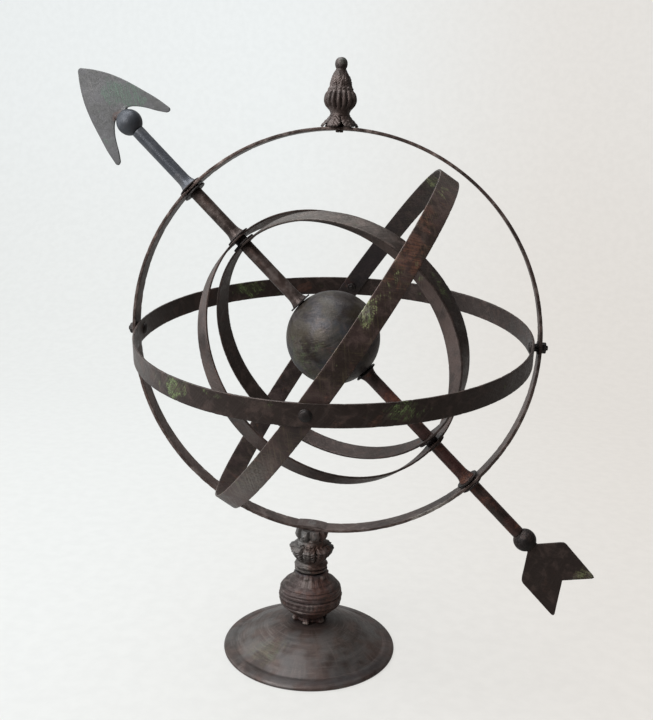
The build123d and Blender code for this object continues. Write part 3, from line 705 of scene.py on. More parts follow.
# The pl patch at 242 degrees is a painted highlight on the near-left outer face; the pk patch at 268 degrees on the
# outer face and the two broad pk patches on the inner face are painted shade.
band("zodiac", ZOD_R, ZOD_T, ZOD_W, ZODIAC,
     [(90, M5_R + RUN), (270, M5_R + RUN)],
     "zodiac", M_ZOD, "zodiac_ring",
     [("pg", 298.3, 6.5, 9, 6.5, 1.9, 1), ("pr", 322, 0, 50, 14, 0.65, 1), ("pg", 312, 0, 26, 12, 0.42, 1), ("pl", 298.3, 8.0, 5, 4, 0.45, 1),
      ("pg", 345, 4, 22, 6, 0.5, 1), ("pg", 28, 3, 20, 9, 0.85, -1), ("pg", 205, 0, 34, 9, 0.75, -1), ("pl", 242, 0, 36, 14, 0.30, 1),
      ("pk", 268, 0, 36, 14, 0.35, 1), ("pk", 80, 0, 120, 40, 0.8, -1), ("pk", 150, 0, 110, 40, 0.4, -1)],
     23, amp=0.06, a1=38.0, a2=-62.0, nick=0.2)
band("band_large", INL_R, INL_T, INL_W, ARROW @ TR(0, 0, -BAND_SHIFT) @ RZ(INL_REST) @ RX(90), [(90, TIE_R + RUN), (270, TIE_R + RUN)],
     "large_band", M_INL, "inner_ring_large",
     [("pg", 353, 0, 10, 8, 0.9, -1), ("pg", 338, 4, 18, 6, 0.6, -1), ("pg", 180, 4, 20, 6, 0.4, 0)],
     24, amp=0.08, wave=0.25, nick=0.2)
band("band_small", INS_R, INS_T, INS_W, ARROW @ TR(0, 0, -BAND_SHIFT) @ RZ(INS_REST) @ RX(90), [(90, TIE_R + RUN), (270, TIE_R + RUN)],
     "small_band", M_INS, "inner_ring_small",
     [("pg", 350, 0, 26, 8, 1.0, 1), ("pl", 114, -8.5, 5, 3, 0.3, 0), ("pl", 58, 0, 55, 20, 0.30, 1), ("pl", 30, 0, 30, 14, 0.14, 1)],
     25, amp=0.08, wave=0.25, nick=0.25)

# ------------------------------------------------------------------------- foot
top = [(17.0, BASE_TOP), (30.0, 29.3), (45.0, 24.6), (58.0, 18.9), (68.0, 12.9), (74.5, 8.7), (79.0, 6.9), (85.0, 5.7), (88.6, 4.4),
       (BASE_R, 2.3), (89.3, 0.7), (87.8, 0.0)]
under = [(85.6, 0.0), (84.6, 1.6), (79.0, 4.1), (73.5, 5.9), (66.8, 10.3), (56.6, 16.2), (44.0, 21.9), (29.5, 26.7), (17.0, BASE_TOP - BASE_WALL)]
rb = STEM_ROD_R + 0.3
dish_prof = np.vstack([densify([(rb, BASE_TOP - BASE_WALL), (rb, BASE_TOP), (17.0, BASE_TOP)], 1.5, False)[:-1],
                       catmull(top, 9), catmull(under, 6)])
dish_prof = np.vstack([dish_prof, densify([(17.0, BASE_TOP - BASE_WALL), (rb, BASE_TOP - BASE_WALL)], 1.5, False)[1:-1]])


def dish_relief(t, r, z):
    up = z > 5.0 * (r > 84) + 0.0
    dz = 0.10 * np.sin(r * 0.9 + 0.3 * np.sin(3 * t)) * smooth(r, 22, 30) * (1 - smooth(r, 70, 76))
    dz += -0.45 * np.exp(-((r - 77.4) / 1.9) ** 2)                      # crease between dome and lip
    dz += 0.30 * np.exp(-((r - 81.5) / 2.6) ** 2)
    return r, np.where(up, z + dz * (z > np.interp(r, [rb, 44, 66.8, 79, 85], [30.2, 23.3, 11.7, 5.5, 3.5])), z)


def dish_patches(l):
    a = np.degrees(np.arctan2(l[:, 1], l[:, 0])) % 360
    r = np.hypot(l[:, 0], l[:, 1])

    def blob(a0, r0, da, dr, amt):
        d = (a - a0 + 180) % 360 - 180
        return amt * np.exp(-(np.radians(d) * r / da) ** 2 - ((r - r0) / dr) ** 2)
    # pk: painted shade on the front and right of the rim lip and round the foot of the stem; the pl patch at 205
    # degrees is painted light on the left of the dome.
    return {"pg": blob(228, 66, 26, 16, 0.8) + blob(240, 40, 14, 14, 0.3) + blob(15, 76, 30, 6, 0.4),
            "pr": blob(330, 50, 40, 25, 0.25), "pk": blob(322, 83, 70, 6, 0.6) + blob(272, 84, 60, 4, 0.30) + 0.4 * (1 - smooth(r, 19, 24)),
            "pl": blob(205, 60, 40, 26, 0.10) + blob(320, 46, 34, 18, 0.10)}


def dish_coords(l):
    """Soft pulls of the brush round the dish, and shorter ones down it."""
    a = np.arctan2(l[:, 1], l[:, 0])
    r = np.hypot(l[:, 0], l[:, 1])
    s1 = np.stack([r / 1.7, r * np.cos(a) / 24.0, r * np.sin(a) / 24.0], -1)
    s2 = np.stack([60 * np.cos(a) / 2.6, 60 * np.sin(a) / 2.6, r / 30.0], -1)
    return l, s1, s2


piece("foot_dish", [(*lathe(dish_prof, 360, dish_relief), np.eye(4))], "stand", M_DISH, "base_dish",
      noise=[(0.22, 26.0, 31), (0.07, 6.0, 32)], mask=lambda l: smooth(np.hypot(l[:, 0], l[:, 1]), 19, 30) * (1 - 0.8 * smooth(np.hypot(l[:, 0], l[:, 1]), 84, 89)),
      coords=dish_coords, patches=dish_patches, sharp=50)

# -------------------------------------------------------------------- stem bulb
bulb_prof = [(15.2, BASE_TOP), (16.6, 33.6), (16.2, 36.0), (18.6, 39.8), (22.8, 43.0), (27.2, 46.0), (30.6, 49.8), (32.3, 54.0), (32.7, 59.8),
             (32.2, 65.5), (30.6, 69.6), (27.4, 73.0), (23.4, 76.5), (19.6, 81.2), (17.2, 85.0), (16.2, BULB_Z1)]


PETAL = math.radians(263.1)


def bulb_relief(t, r, z):
    out = r > 8.0
    n1 = 0.55 * np.sin(3 * t + 0.7) + 0.45 * np.sin(7 * t + 2.0)
    d = np.zeros_like(r)
    # stepped tiers: dark undercut line, then a proud rounded edge below it
    for zg, dep, wd in ((75.4, 1.1, 0.75), (70.4, 1.2, 0.8), (62.2, 1.25, 0.8), (52.8, 1.0, 0.9)):
        zz = z - zg - 0.35 * n1
        d -= dep * np.exp(-(zz / wd) ** 2)
        d += 0.42 * dep * np.exp(-((zz + 1.9) / 1.0) ** 2)
    for zg, dep, wd in ((57.2, 0.35, 0.6), (66.4, 0.35, 0.6), (48.6, 0.4, 0.6)):
        d -= dep * np.exp(-((z - zg - 0.45 * n1) / wd) ** 2)
    # small upright veins on the shoulder
    sh = smooth(z, 71, 77) * (1 - smooth(z, 84.0, 86.0))
    d += sh * 0.42 * np.cos(18 * t) ** 3
    belly = smooth(z, 53.5, 56) * (1 - smooth(z, 60, 62))
    d += belly * 0.16 * np.cos(40 * t + 2 * np.sin(5 * t))
    # sharp lower corner over a hollow cone
    d += 0.9 * np.exp(-((z - 41.0) / 1.1) ** 2)
    d -= 1.3 * np.exp(-((z - 38.2) / 1.5) ** 2)
    # petals of the foot: separate rounded tongues with turned-out tips
    ft = 1 - smooth(z, 36.0, 38.6)
    lobe = np.abs(np.cos(3 * (t - PETAL)))
    d += ft * (-2.4 + 3.9 * smooth(lobe, 0.62, 0.94))
    d += 0.8 * np.exp(-((z - 33.2) / 1.3) ** 2) * smooth(lobe, 0.7, 0.95)
    # small tongues lapping over the top edge
    d += 1.1 * np.exp(-((z - 83.2) / 1.7) ** 2) * smooth(lobe, 0.86, 0.98)
    # straighter shoulder, quicker fall to the lower corner
    d -= 1.7 * np.exp(-((z - 80.0) / 3.6) ** 2) + 1.5 * np.exp(-((z - 47.2) / 3.0) ** 2)
    d -= (1 - smooth(z, BASE_TOP, BASE_TOP + 1.1)) * 0.8
    return np.where(out, r + d, r), z


bp = np.vstack([densify([(rb, BASE_TOP), (15.0, BASE_TOP)], 1.5, False)[:-1], densify(catmull(bulb_prof, 8), 0.55, False),
                densify([(16.0, BULB_Z1), (rb, BULB_Z1)], 1.5, False)[1:], densify([(rb, BULB_Z1 - 1), (rb, BASE_TOP + 1)], 4.0, False)])


def bulb_patches(l):
    z = l[:, 2]
    a = np.arctan2(l[:, 1], l[:, 0])
    tip = smooth(np.abs(np.cos(3 * (a - PETAL))), 0.80, 0.98)
    low = np.exp(-((z - 33.8) / 1.5) ** 2) * tip
    high = np.exp(-((z - 83.0) / 1.6) ** 2) * tip
    # pl: painted highlight on the petal tips of the foot and the small tongues at the top; pk: painted shade over the
    # foot between the petals and along the top edge under the capital; pr: rust tone low down and on the right-front.
    return {"pl": 0.42 * low + 0.30 * high,
            "pk": np.clip(1.0 - smooth(z, 39.0, 44.0) - 0.9 * low + 0.8 * smooth(z, 84.6, 86.0) - 0.5 * high, 0, 1),
            "pr": 0.5 * (1 - smooth(z, 44.0, 50.0)) + 0.55 * np.clip(np.cos(a + 0.5), 0, 1)}


piece("stem_bulb_casting", [(*lathe(bp, 360, bulb_relief), np.eye(4))], "stand", M_CAST, "stem_bulb",
      noise=[(0.28, 9.0, 41), (0.14, 2.6, 42)], mask=lambda l: smooth(np.hypot(l[:, 0], l[:, 1]), 12, 15) * smooth(l[:, 2], BASE_TOP + 0.2, BASE_TOP + 2) * (1 - smooth(l[:, 2], BULB_Z1 - 1.0, BULB_Z1 - 0.1)),
      coords=lambda l: generic(l, 1.2, 9.0), patches=bulb_patches, sharp=60, cv_passes=2)

# -------------------------------------------------------------- stem capital
c0 = CAP_Z0
HOOP_Z = SZ - 198.0
cap_prof = [(15.4, c0), (16.9, 89.0), (16.9, 90.6), (16.0, 91.6), (17.0, 92.9), (17.1, 94.4), (15.2, 96.8), (14.6, 98.2),
            (16.4, 100.4), (19.6, 103.8), (21.6, 107.2), (22.1, 110.2), (21.0, 113.6), (18.2, 116.8), (15.3, 119.4),
            (14.4, 121.2), (15.6, 123.6), (16.8, 126.0), (17.0, 129.0), (16.2, 132.0)]


def hoop_under(x):
    return SZ - np.sqrt(np.maximum((M_OUT) ** 2 - (x - SX) ** 2, 1.0)) - 0.02


def cap_relief(t, r, z):
    out = r > 8.0
    d = np.zeros_like(r)
    # eight leaves on the bulge, each with a rib, side veins and a curled tip
    a = (t + np.pi / 8) % (np.pi / 4) - np.pi / 8                        # angle inside one leaf
    u = a / (np.pi / 8)
    win = smooth(z, 98.6, 103.0) * (1 - smooth(z, 116.5, 119.8))
    valley = 1 - smooth(np.abs(u), 0.62, 0.97)
    ragged = 0.75 + 0.25 * np.sin(z * 1.7 + 3 * np.floor(t * 4 / np.pi + 0.5))
    d -= win * 3.6 * (1 - valley) ** 1.2 * ragged
    d += win * 0.9 * np.exp(-(u / 0.16) ** 2)                           # centre rib
    d += win * 0.5 * np.cos((z * 2.1 - np.abs(u) * 7.5)) * smooth(np.abs(u), 0.12, 0.3) * valley
    d -= win * 0.9
    d += 1.9 * np.exp(-((z - 112.6) / 1.8) ** 2) * valley * win         # curled upper tips
    d -= 1.4 * np.exp(-((z - 116.6) / 1.2) ** 2) * valley
    # second row of leaf tips under the hoop, set between the first
    b = (t) % (np.pi / 4) - np.pi / 8
    ub = b / (np.pi / 8)
    w2 = smooth(z, 121.6, 124.6)
    d -= w2 * 3.4 * smooth(np.abs(ub), 0.42, 0.92)
    d += w2 * 1.2 * np.exp(-(ub / 0.3) ** 2) * np.exp(-((z - 127.2) / 2.3) ** 2)
    d -= w2 * 1.5 * np.exp(-(ub / 0.16) ** 2) * np.exp(-((z - 126.6) / 1.1) ** 2)
    # collar rings are scalloped and slightly uneven
    d += (1 - smooth(z, 95.5, 97.5)) * 0.30 * np.cos(14 * t + 1.1) * np.cos((z - 90.0) * 0.9)
    d -= 0.9 * np.exp(-((z - 91.7) / 0.65) ** 2)
    r2 = np.where(out, r + d, r)
    x = r2 * np.cos(t)
    zt = hoop_under(x)
    z2 = np.where(z > HOOP_Z - 4.6, np.minimum(zt, z + (zt - (HOOP_Z - 3.4)) * 0 + 10.0), z)
    z2 = np.where(z > HOOP_Z - 4.6, zt, z)
    return r2, z2


side = densify(catmull(cap_prof, 8), 0.5, False)
side = side[side[:, 1] < HOOP_Z - 4.8]
cp = np.vstack([densify([(rb, c0), (15.2, c0)], 1.5, False)[:-1], side, densify([(15.8, HOOP_Z - 3.4), (rb, HOOP_Z - 3.4)], 0.8, False),
                densify([(rb, HOOP_Z - 7.0), (rb, c0 + 1.0)], 4.0, False)])
# pl: painted light on the front-left side of the capital; pr: rust tone on the right-front side.
piece("stem_capital_casting", [(*lathe(cp, 400, cap_relief), np.eye(4))], "stand", M_CAP, "stem_capital",
      noise=[(0.30, 7.0, 43), (0.14, 2.2, 44)], mask=lambda l: smooth(np.hypot(l[:, 0], l[:, 1]), 10, 13) * smooth(l[:, 2], c0 + 0.2, c0 + 1.5) * (1 - smooth(l[:, 2], HOOP_Z - 6.5, HOOP_Z - 5.0)),
      coords=lambda l: generic(l, 1.2, 9.0), sharp=60, cv_passes=2,
      patches=lambda l: {"pr": 0.7 * np.clip(np.cos(np.arctan2(l[:, 1], l[:, 0]) + 0.7), 0, 1), "pl": 0.16 * np.clip(-np.cos(np.arctan2(l[:, 1], l[:, 0]) - 0.9), 0, 1) ** 2})

piece("stem_gap_washer", [(*ring_disc(13.2, BULB_Z1, CAP_Z0, rb, 96, 0.2, wob=0.15, seed=1), np.eye(4))], "stand", M_BLACK, "stem_washer", noise=[(0.04, 4.0, 45)], mask=lambda l: smooth(np.hypot(l[:, 0], l[:, 1]), 12.6, 13.1))

# ------------------------------------------------------------------- seat plate
seat_r = MER_R - MER_T / 2
plate_t = 2.2


HALF_L, END_T = 14.5, 0.7
crown = (HALF_L ** 2 + (plate_t - END_T) ** 2) / (2 * (plate_t - END_T))
crown = 1 / (1 / crown - 1 / seat_r)
SEAT = GLOBE @ RY(math.degrees(math.asin(SX / MER_R)))


def seat_plate_mesh():
    nu, h = 72, MER_W / 2 - 0.3
    v = []
    n = 0
    for x in np.linspace(-HALF_L + 0.05, HALF_L - 0.05, nu):
        out_z = -math.sqrt(seat_r ** 2 - x * x) + 0.02
        in_z = -(seat_r - plate_t) - crown + math.sqrt(crown ** 2 - x * x)
        e = max(0.0, (abs(x) - HALF_L + 1.0))                            # ends rounded off
        in_z = max(in_z - 0.20 * e * e - 0.22 * float(smooth(np.array(abs(x)), 5.0, 14.5)), out_z + 0.22)
        q = min(0.5, 0.45 * (in_z - out_z))
        prof = densify(rounded([(h, out_z), (h, in_z), (-h, in_z), (-h, out_z)], [0.05, q, q, 0.05], 3), 50.0)
        n = len(prof)
        v += [(x, y, z) for y, z in prof]
    f = grid_faces(nu, n, False, True)
    f.append(list(range(n)))
    f.append([(nu - 1) * n + k for k in range(n)][::-1])
    return np.array(v), f


sv, sf = seat_plate_mesh()
cyl = lathe([(0, -30), (STEM_ROD_R + 0.02, -30), (STEM_ROD_R + 0.02, 30), (0, 30)], 48)
# The pk value darkens the whole seat plate: painted shade under the hoop.
piece("hoop_seat_plate", [(sv, sf, SEAT)], "stand", M_HOOP, "seat_plate",
      noise=[], coords=lambda l: (l, l * np.array([0.06, 0.8, 0.8]), l * np.array([0.8, 0.1, 0.8])), patches=lambda l: {"pk": np.full(len(l), 0.22)},
      cuts=[(cyl[0], cyl[1], TR(0, 0, SZ - 197))], sharp=40)

# ------------------------------------------------------------------------ finial
F0 = M_OUT
fin_prof = [(0.0, 264.4), (3.0, 263.7), (5.2, 261.4), (5.9, 258.4), (5.5, 255.4), (5.1, 253.7), (5.6, 251.8), (7.2, 248.6), (8.6, 244.8), (9.6, 240.4),
            (10.2, 237.6), (11.8, 234.6), (13.8, 231.6), (14.9, 228.2), (15.1, 225.2), (14.2, 221.8), (12.0, 218.6), (9.9, 216.0), (9.0, 213.4), (9.3, 211.8),
            (9.0, 210.6), (8.0, 209.4)]


def fin_relief(t, r, z):
    d = np.zeros_like(r)
    # flutes of the bulge: pointed ribs between hollow grooves
    k = 16
    win = smooth(z, 216.2, 220.0) * (1 - smooth(z, 231.8, 236.0))
    rib = np.abs(np.cos(k * t / 2))
    d += win * (0.45 - 3.0 * (1 - rib ** 0.6))
    # shoulder lip where the flutes end in small arches
    arch = 235.4 - 2.6 * (1 - rib)
    d += 0.55 * np.exp(-((z - arch - 0.7) / 0.8) ** 2)
    # overlapping leaves on the cone, with a rib and side veins
    for row, (zb, zt, n, ph, dep) in enumerate(((236.2, 248.0, 5, 0.35, 0.75), (241.0, 252.4, 5, 0.98, 0.5))):
        a = (t * n / (2 * np.pi) + ph) % 1.0 - 0.5
        h = (z - zb) / (zt - zb)
        half = 0.46 * np.sqrt(np.clip(1 - h, 0, 1)) * (h > -0.2)
        edge = smooth(half - np.abs(a), 0.0, 0.07) * (1 - smooth(h, 0.93, 1.02)) * smooth(z, zb - 1.5, zb)
        d += edge * dep * (1 - 0.35 * (np.abs(a) / 0.5))
        d -= edge * 0.35 * np.exp(-(a / 0.035) ** 2)
        d += edge * 0.16 * np.cos(z * 2.6 - np.abs(a) * 22)
    d -= 0.5 * np.exp(-((z - 254.0) / 0.8) ** 2)
    d += 0.5 * np.exp(-((z - 211.8) / 0.8) ** 2)
    d *= smooth(r, 0.2, 2.5)
    return r + d, z


fbody = densify(catmull(fin_prof, 8), 0.5, False)
fbody = np.vstack([fbody, densify([(7.8, 209.2), (5.0, 207.8), (4.9, F0 + 0.15), (0, F0 + 0.15)], 0.8, False)])
fin_parts = [(*lathe(fbody, 288, fin_relief), GLOBE)]


def leaf_foot(k, n=6):
    """One splayed acanthus foot: a curved tapering tongue from the neck to the hoop."""
    nl, nw = 30, 17
    path = catmull([(7.4, 212.2), (9.2, 210.0), (11.7, 207.4), (14.3, 204.7), (16.2, 202.7), (17.2, 201.4)], 6)
    s = np.linspace(0, 1, nl)
    idx = np.linspace(0, len(path) - 1, nl)
    pr = np.interp(idx, np.arange(len(path)), path[:, 0])
    pz = np.interp(idx, np.arange(len(path)), path[:, 1])
    width = np.interp(s, [0, 0.25, 0.55, 0.8, 0.95, 1.0], [3.6, 5.0, 6.6, 6.2, 4.2, 1.8])
    th = np.interp(s, [0, 0.7, 1.0], [1.1, 0.95, 0.6])
    top_v, bot_v = [], []
    for i in range(nl):
        j0, j1 = max(i - 1, 0), min(i + 1, nl - 1)
        tx, tz = pr[j1] - pr[j0], pz[j1] - pz[j0]
        ln = math.hypot(tx, tz)
        nx, nz = -tz / ln, tx / ln
        if nz < 0:
            nx, nz = -nx, -nz
        for j in range(nw):
            u = -1 + 2 * j / (nw - 1)
            y = u * width[i] * (1 + 0.08 * math.cos(i * 1.5))
            arch = -1.1 * u * u + 0.45 * math.exp(-(u / 0.14) ** 2) + 0.22 * math.cos(9 * abs(u) - i * 0.9)
            edge = math.sqrt(max(0.0, 1 - u ** 4))
            for lst, sgn in ((top_v, 1), (bot_v, -1)):
                o = arch * (1.0 if sgn > 0 else 0.8) + sgn * th[i] * edge
                lst.append((pr[i] + nx * o, y, pz[i] + nz * o))
    v = np.array(top_v + bot_v)
    m = nl * nw
    f = grid_faces(nl, nw, False, False) + [[a + m for a in q][::-1] for q in grid_faces(nl, nw, False, False)]
    rim = [i * nw for i in range(nl)] + [(nl - 1) * nw + j for j in range(1, nw)] + [i * nw + nw - 1 for i in range(nl - 2, -1, -1)] + [j for j in range(nw - 2, 0, -1)]
    for a, b in zip(rim, rim[1:] + rim[:1]):
        f.append([a, b, b + m, a + m])
    ang = 360.0 / n * k + 12
    v2 = apply(RZ(ang), v)
    # rest on the hoop's curved back
    hz = np.sqrt(F0 ** 2 - v2[:, 0] ** 2) + 0.05
    lowest = np.where(np.abs(v2[:, 1]) < MER_W / 2 + 3, hz, 198.6)
    v2[:, 2] = np.maximum(v2[:, 2], lowest)
    return v2, f


for k in range(6):
    fin_parts.append((*leaf_foot(k), GLOBE))
# pk darkens the tip ball and neck top as painted shade; the green pg spot on top of the tip is partly verdigris, partly
# painted highlight.
piece("finial_casting", fin_parts, "stand", M_FINIAL, "finial", noise=[(0.16, 4.5, 51), (0.08, 1.6, 52)],
      mask=lambda l: smooth(l[:, 2], F0 + 0.1, F0 + 1.2) * (1 - smooth(l[:, 2], 262.0, 263.5)),
      coords=lambda l: generic(l, 1.0, 8.0), remesh=(0.32, 1), sharp=60, cv_passes=2,
      patches=lambda l: {"pg": 1.2 * np.exp(-((l[:, 2] - 260.5) / 3.0) ** 2 - ((l[:, 0] - 2.0) / 4.0) ** 2), "pk": 0.35 * smooth(l[:, 2], 253.5, 256.0)})

# --------------------------------------------------------------------- fasteners
scr = densify(rounded([(0, M_IN - 2.0), (3.6, M_IN - 2.0), (3.6, M_IN - 0.06), (2.5, M_IN - 0.06)], [0, 1.0, 0.2, 0], 3, False), 0.5, False)
scr = np.vstack([scr, densify([(M5_R - 0.02, M_IN), (M5_R - 0.02, F0 + 11.0), (0, F0 + 11.4)], 0.8, False)])
slot_cut = (np.array([[x, y, z] for x in (-0.45, 0.45) for y in (-7, 7) for z in (M_IN - 3.5, M_IN - 1.2)], float),
            [[0, 1, 3, 2], [4, 6, 7, 5], [0, 4, 5, 1], [2, 3, 7, 6], [0, 2, 6, 4], [1, 5, 7, 3]], GLOBE)
piece("finial_slot_screw", [(*lathe(scr, 64), GLOBE)], "stand", M_HOOP, "finial_screw", cuts=[slot_cut], sharp=40)


def threaded(r, z0, z1, pitch=0.8, dep=0.28):
    """Relief for a screw thread between two heights."""
    def f(t, rr, zz):
        win = smooth(zz, z0, z0 + 0.4) * (1 - smooth(zz, z1 - 0.5, z1)) * (rr > r - 0.6)
        ph = (zz / pitch - t / (2 * np.pi)) % 1.0
        return rr - win * dep * (1 - np.abs(2 * ph - 1)), zz
    return f


hin = math.sqrt(H_IN ** 2 - HEAD_R ** 2) - 0.02
mi = math.sqrt(M_IN ** 2 - 6.2 ** 2) - 0.02
bolt_prof = np.vstack([catmull([(0, hin - 2.8), (1.4, hin - 2.78), (2.9, hin - 2.55), (4.4, hin - 1.9), (5.3, hin - 1.0), (HEAD_R, hin - 0.35)], 5),
                       densify([(HEAD_R - 0.05, hin), (M5_R, hin), (M5_R, M_OUT + 4.5)], 0.9, False),
                       densify([(M5_R, M_OUT + 4.6), (M5_R, M_OUT + 5.7), (M5_R - 0.45, M_OUT + 6.2), (0, M_OUT + 6.2)], 0.12, False)])
hb, hn, hw, hs = [], [], [], []
for s in (-1, 1):
    turn = GLOBE @ RY(90 * s)
    hb.append((*lathe(bolt_prof, 64, threaded(M5_R, M_OUT + 4.4, M_OUT + 6.1)), turn))
    hn.append((*hex_body(9.6, M_OUT + 0.02, M_OUT + 4.4, M5_R + 0.02), turn @ RZ(11 * s)))
    hw.append((*ring_disc(6.2, H_OUT + 0.02, H_OUT + 1.0, M5_R + 0.1, 64, 0.2), turn))
    hw.append((*ring_disc(6.2, mi - 1.0, mi, M5_R + 0.1, 64, 0.2), turn))
    hs.append((*ring_disc(3.9, H_OUT + 1.02, mi - 1.02, M5_R + 0.1, 48, 0.15), turn))
piece("horizon_bolts", hb, "stand", M_BLACK, "horizon_pivot_bolts", sharp=40)
piece("horizon_nuts", hn, "stand", M_BLACK, "horizon_pivot_nuts", sharp=30)
piece("horizon_washers", hw, "stand", M_BLACK, "horizon_pivot_washers", sharp=40)
piece("horizon_spacers", hs, "stand", M_BLACK, "horizon_pivot_spacers", sharp=40)

zn = math.sqrt(Z_IN ** 2 - 5.2 ** 2) - 0.02
hi_ = math.sqrt(H_IN ** 2 - 5.6 ** 2) - 0.02
zb_prof = np.vstack([densify([(0, zn - 5.4), (M5_R - 0.45, zn - 5.4), (M5_R, zn - 4.9), (M5_R, zn - 3.9)], 0.12, False),
                     densify([(M5_R, zn - 3.8), (M5_R, H_OUT + 0.01)], 0.9, False),
                     densify(rounded([(M5_R + 0.1, H_OUT + 0.01), (HEAD_R, H_OUT + 0.01), (HEAD_R, H_OUT + 0.55), (HEAD_R - 0.5, H_OUT + 0.85)], [0, 0.1, 0.3, 0], 3, False), 0.3, False),
                     catmull([(4.7, H_OUT + 0.95), (4.2, H_OUT + 1.75), (3.1, H_OUT + 2.35), (1.6, H_OUT + 2.72), (0, H_OUT + 2.8)], 6)])
zb, zu, zw = [], [], []
for s in (-1, 1):
    turn = HORIZON @ RX(-90 * s)
    zb.append((*lathe(zb_prof, 72, threaded(M5_R, zn - 5.3, zn - 3.9)), turn))
    zu.append((*hex_body(8.8, zn - 4.0, zn, M5_R + 0.02), turn @ RZ(14)))
    zw.append((*ring_disc(5.6, Z_OUT + 0.02, hi_, M5_R + 0.1, 64, 0.12), turn))
piece("zodiac_bolts", zb, "horizon", M_BLACK, "zodiac_pivot_bolts", sharp=40)
piece("zodiac_nuts", zu, "horizon", M_BLACK, "zodiac_pivot_nuts", sharp=30)
piece("zodiac_washers", zw, "horizon", M_BLACK, "zodiac_pivot_washers", sharp=40)

# ------------------------------------------------------------------------- arrow
b3 = BALL_R + WASHER_T
ins_tube = math.sqrt((INS_R - INS_T / 2) ** 2 - TUBE_R ** 2) - 0.02
inl_tube = math.sqrt((INL_R - INL_T / 2) ** 2 - TUBE_R ** 2) - 0.02
sp_r, sp_t = 7.6, 1.9
mer_sp = math.sqrt(M_IN ** 2 - sp_r ** 2) - 0.02
w_in1 = mer_sp - sp_t
seg2_end = w_in1 - WASHER_T
g0 = INS_R + INS_T / 2 + 0.02
k0 = INL_R + INL_T / 2 + 0.02
t2 = k0 + WASHER_T
o0 = M_OUT + 0.02
t1 = o0 + WASHER_T
head_in = HEAD_BALL_S - math.sqrt(HEAD_BALL_R ** 2 - TUBE_IR ** 2) - 0.02
tail_in = TAIL_BALL_S - math.sqrt(TAIL_BALL_R ** 2 - TUBE_IR ** 2) - 0.02


def tube_mesh(s0, s1, flare=None, nu=96):
    prof = []
    n = 16
    if flare == "lo":
        outer = [(TUBE_R + (FLARE_R - TUBE_R) * (k / n) ** 2.6, s0 + FLARE_L * (1 - k / n)) for k in range(n + 1)]
        outer = [(TUBE_R, s1)] + outer
    elif flare == "hi":
        outer = [(TUBE_R + (FLARE_R - TUBE_R) * (k / n) ** 2.6, s1 - FLARE_L * (1 - k / n)) for k in range(n + 1)]
        outer = [(TUBE_R, s0)] + outer
        outer = outer[::-1]
        s0, s1 = s0, s1
    else:
        outer = [(TUBE_R, s1), (TUBE_R, s0)]
    if flare == "hi":
        loop = outer + [(TUBE_IR, s0), (TUBE_IR, s1)]
    else:
        loop = outer + [(TUBE_IR, s0), (TUBE_IR, s1)]
    loop = np.array(loop, float)
    if flare:
        # the trumpet's lip is rounded
        rad = [0.25] + [0.0] * n + [0.45] + [0.15, 0.15] if flare == "lo" else [0.45] + [0.0] * n + [0.25] + [0.15, 0.15]
    else:
        rad = [0.3, 0.3, 0.15, 0.15]
    return lathe(densify(rounded(loop, rad, 3), 1.6), nu)


def tube_coords(l):
    """Long pulls of the brush along the tube and scuffs round it."""
    s1 = np.stack([l[:, 0] / 1.0, l[:, 1] / 1.0, l[:, 2] / 26.0], -1)
    s2 = np.stack([l[:, 0] / 6.0, l[:, 1] / 6.0, l[:, 2] / 1.6], -1)
    return l, s1, s2


def tube_mask(s0, s1):
    return lambda l: smooth(l[:, 2], s0 + 0.3, s0 + 2.5) * (1 - smooth(l[:, 2], s1 - 2.5, s1 - 0.3)) * (np.hypot(l[:, 0], l[:, 1]) > 5.2)


for nm, m, a, b, fl, mat in (
        ("upper_inner_tube", ARROW, b3, ins_tube - BAND_SHIFT, "lo", M_TUBE_BROWN), ("lower_inner_tube", TAILW, b3, ins_tube + BAND_SHIFT, "lo", M_TUBE_RUST),
        ("upper_outer_tube", ARROW, t2 - BAND_SHIFT, seg2_end, "lo", M_TUBE_BROWN), ("lower_outer_tube", TAILW, t2 + BAND_SHIFT, seg2_end, "hi", M_TUBE_RUST),
        ("head_tube", ARROW, t1, head_in, "lo", M_TUBE_DARK), ("tail_tube", TAILW, t1, tail_in, None, M_TUBE_RUST)):
    piece("arrow_" + nm, [(*tube_mesh(a, b, fl), m)], "arrow", mat, nm,
          noise=[(0.10, 18.0, 61 + len(nm)), (0.05, 3.0, 62)], mask=tube_mask(a, b), coords=tube_coords, sharp=38)

# Hollow ball: two spun halves, faint seam, bored at both poles.
rbore = TIE_R + RUN
zb_o = math.sqrt(BALL_R ** 2 - rbore ** 2)
ri = BALL_R - BALL_WALL
zb_i = math.sqrt(ri ** 2 - rbore ** 2)
a0 = math.asin(rbore / BALL_R)
a1 = math.asin(rbore / ri)
nb = 170
outer_p = [(BALL_R * math.sin(a), BALL_R * math.cos(a)) for a in np.linspace(a0, math.pi - a0, nb)]
inner_p = [(ri * math.sin(a), ri * math.cos(a)) for a in np.linspace(math.pi - a1, a1, 60)]


def ball_post(l, co, no, d):
    r = np.linalg.norm(l, axis=1)
    seam = np.exp(-((l[:, 2] * 0.94 + l[:, 0] * 0.34) / 0.55) ** 2) * (r > 45.2)
    return d * (r > 45.2) - 0.16 * seam * (0.6 + 0.4 * vnoise(l / 5.0, 77))


def ball_coords(l):
    u = l @ RY(20)[:3, :3] @ RX(28)[:3, :3]
    s1 = np.stack([u[:, 0] / 16.0, u[:, 1] / 16.0, u[:, 2] / 0.9], -1)
    v = l @ RX(-58)[:3, :3] @ RY(35)[:3, :3]
    s2 = np.stack([v[:, 0] / 12.0, v[:, 1] / 12.0, v[:, 2] / 1.0], -1)
    return l, s1, s2


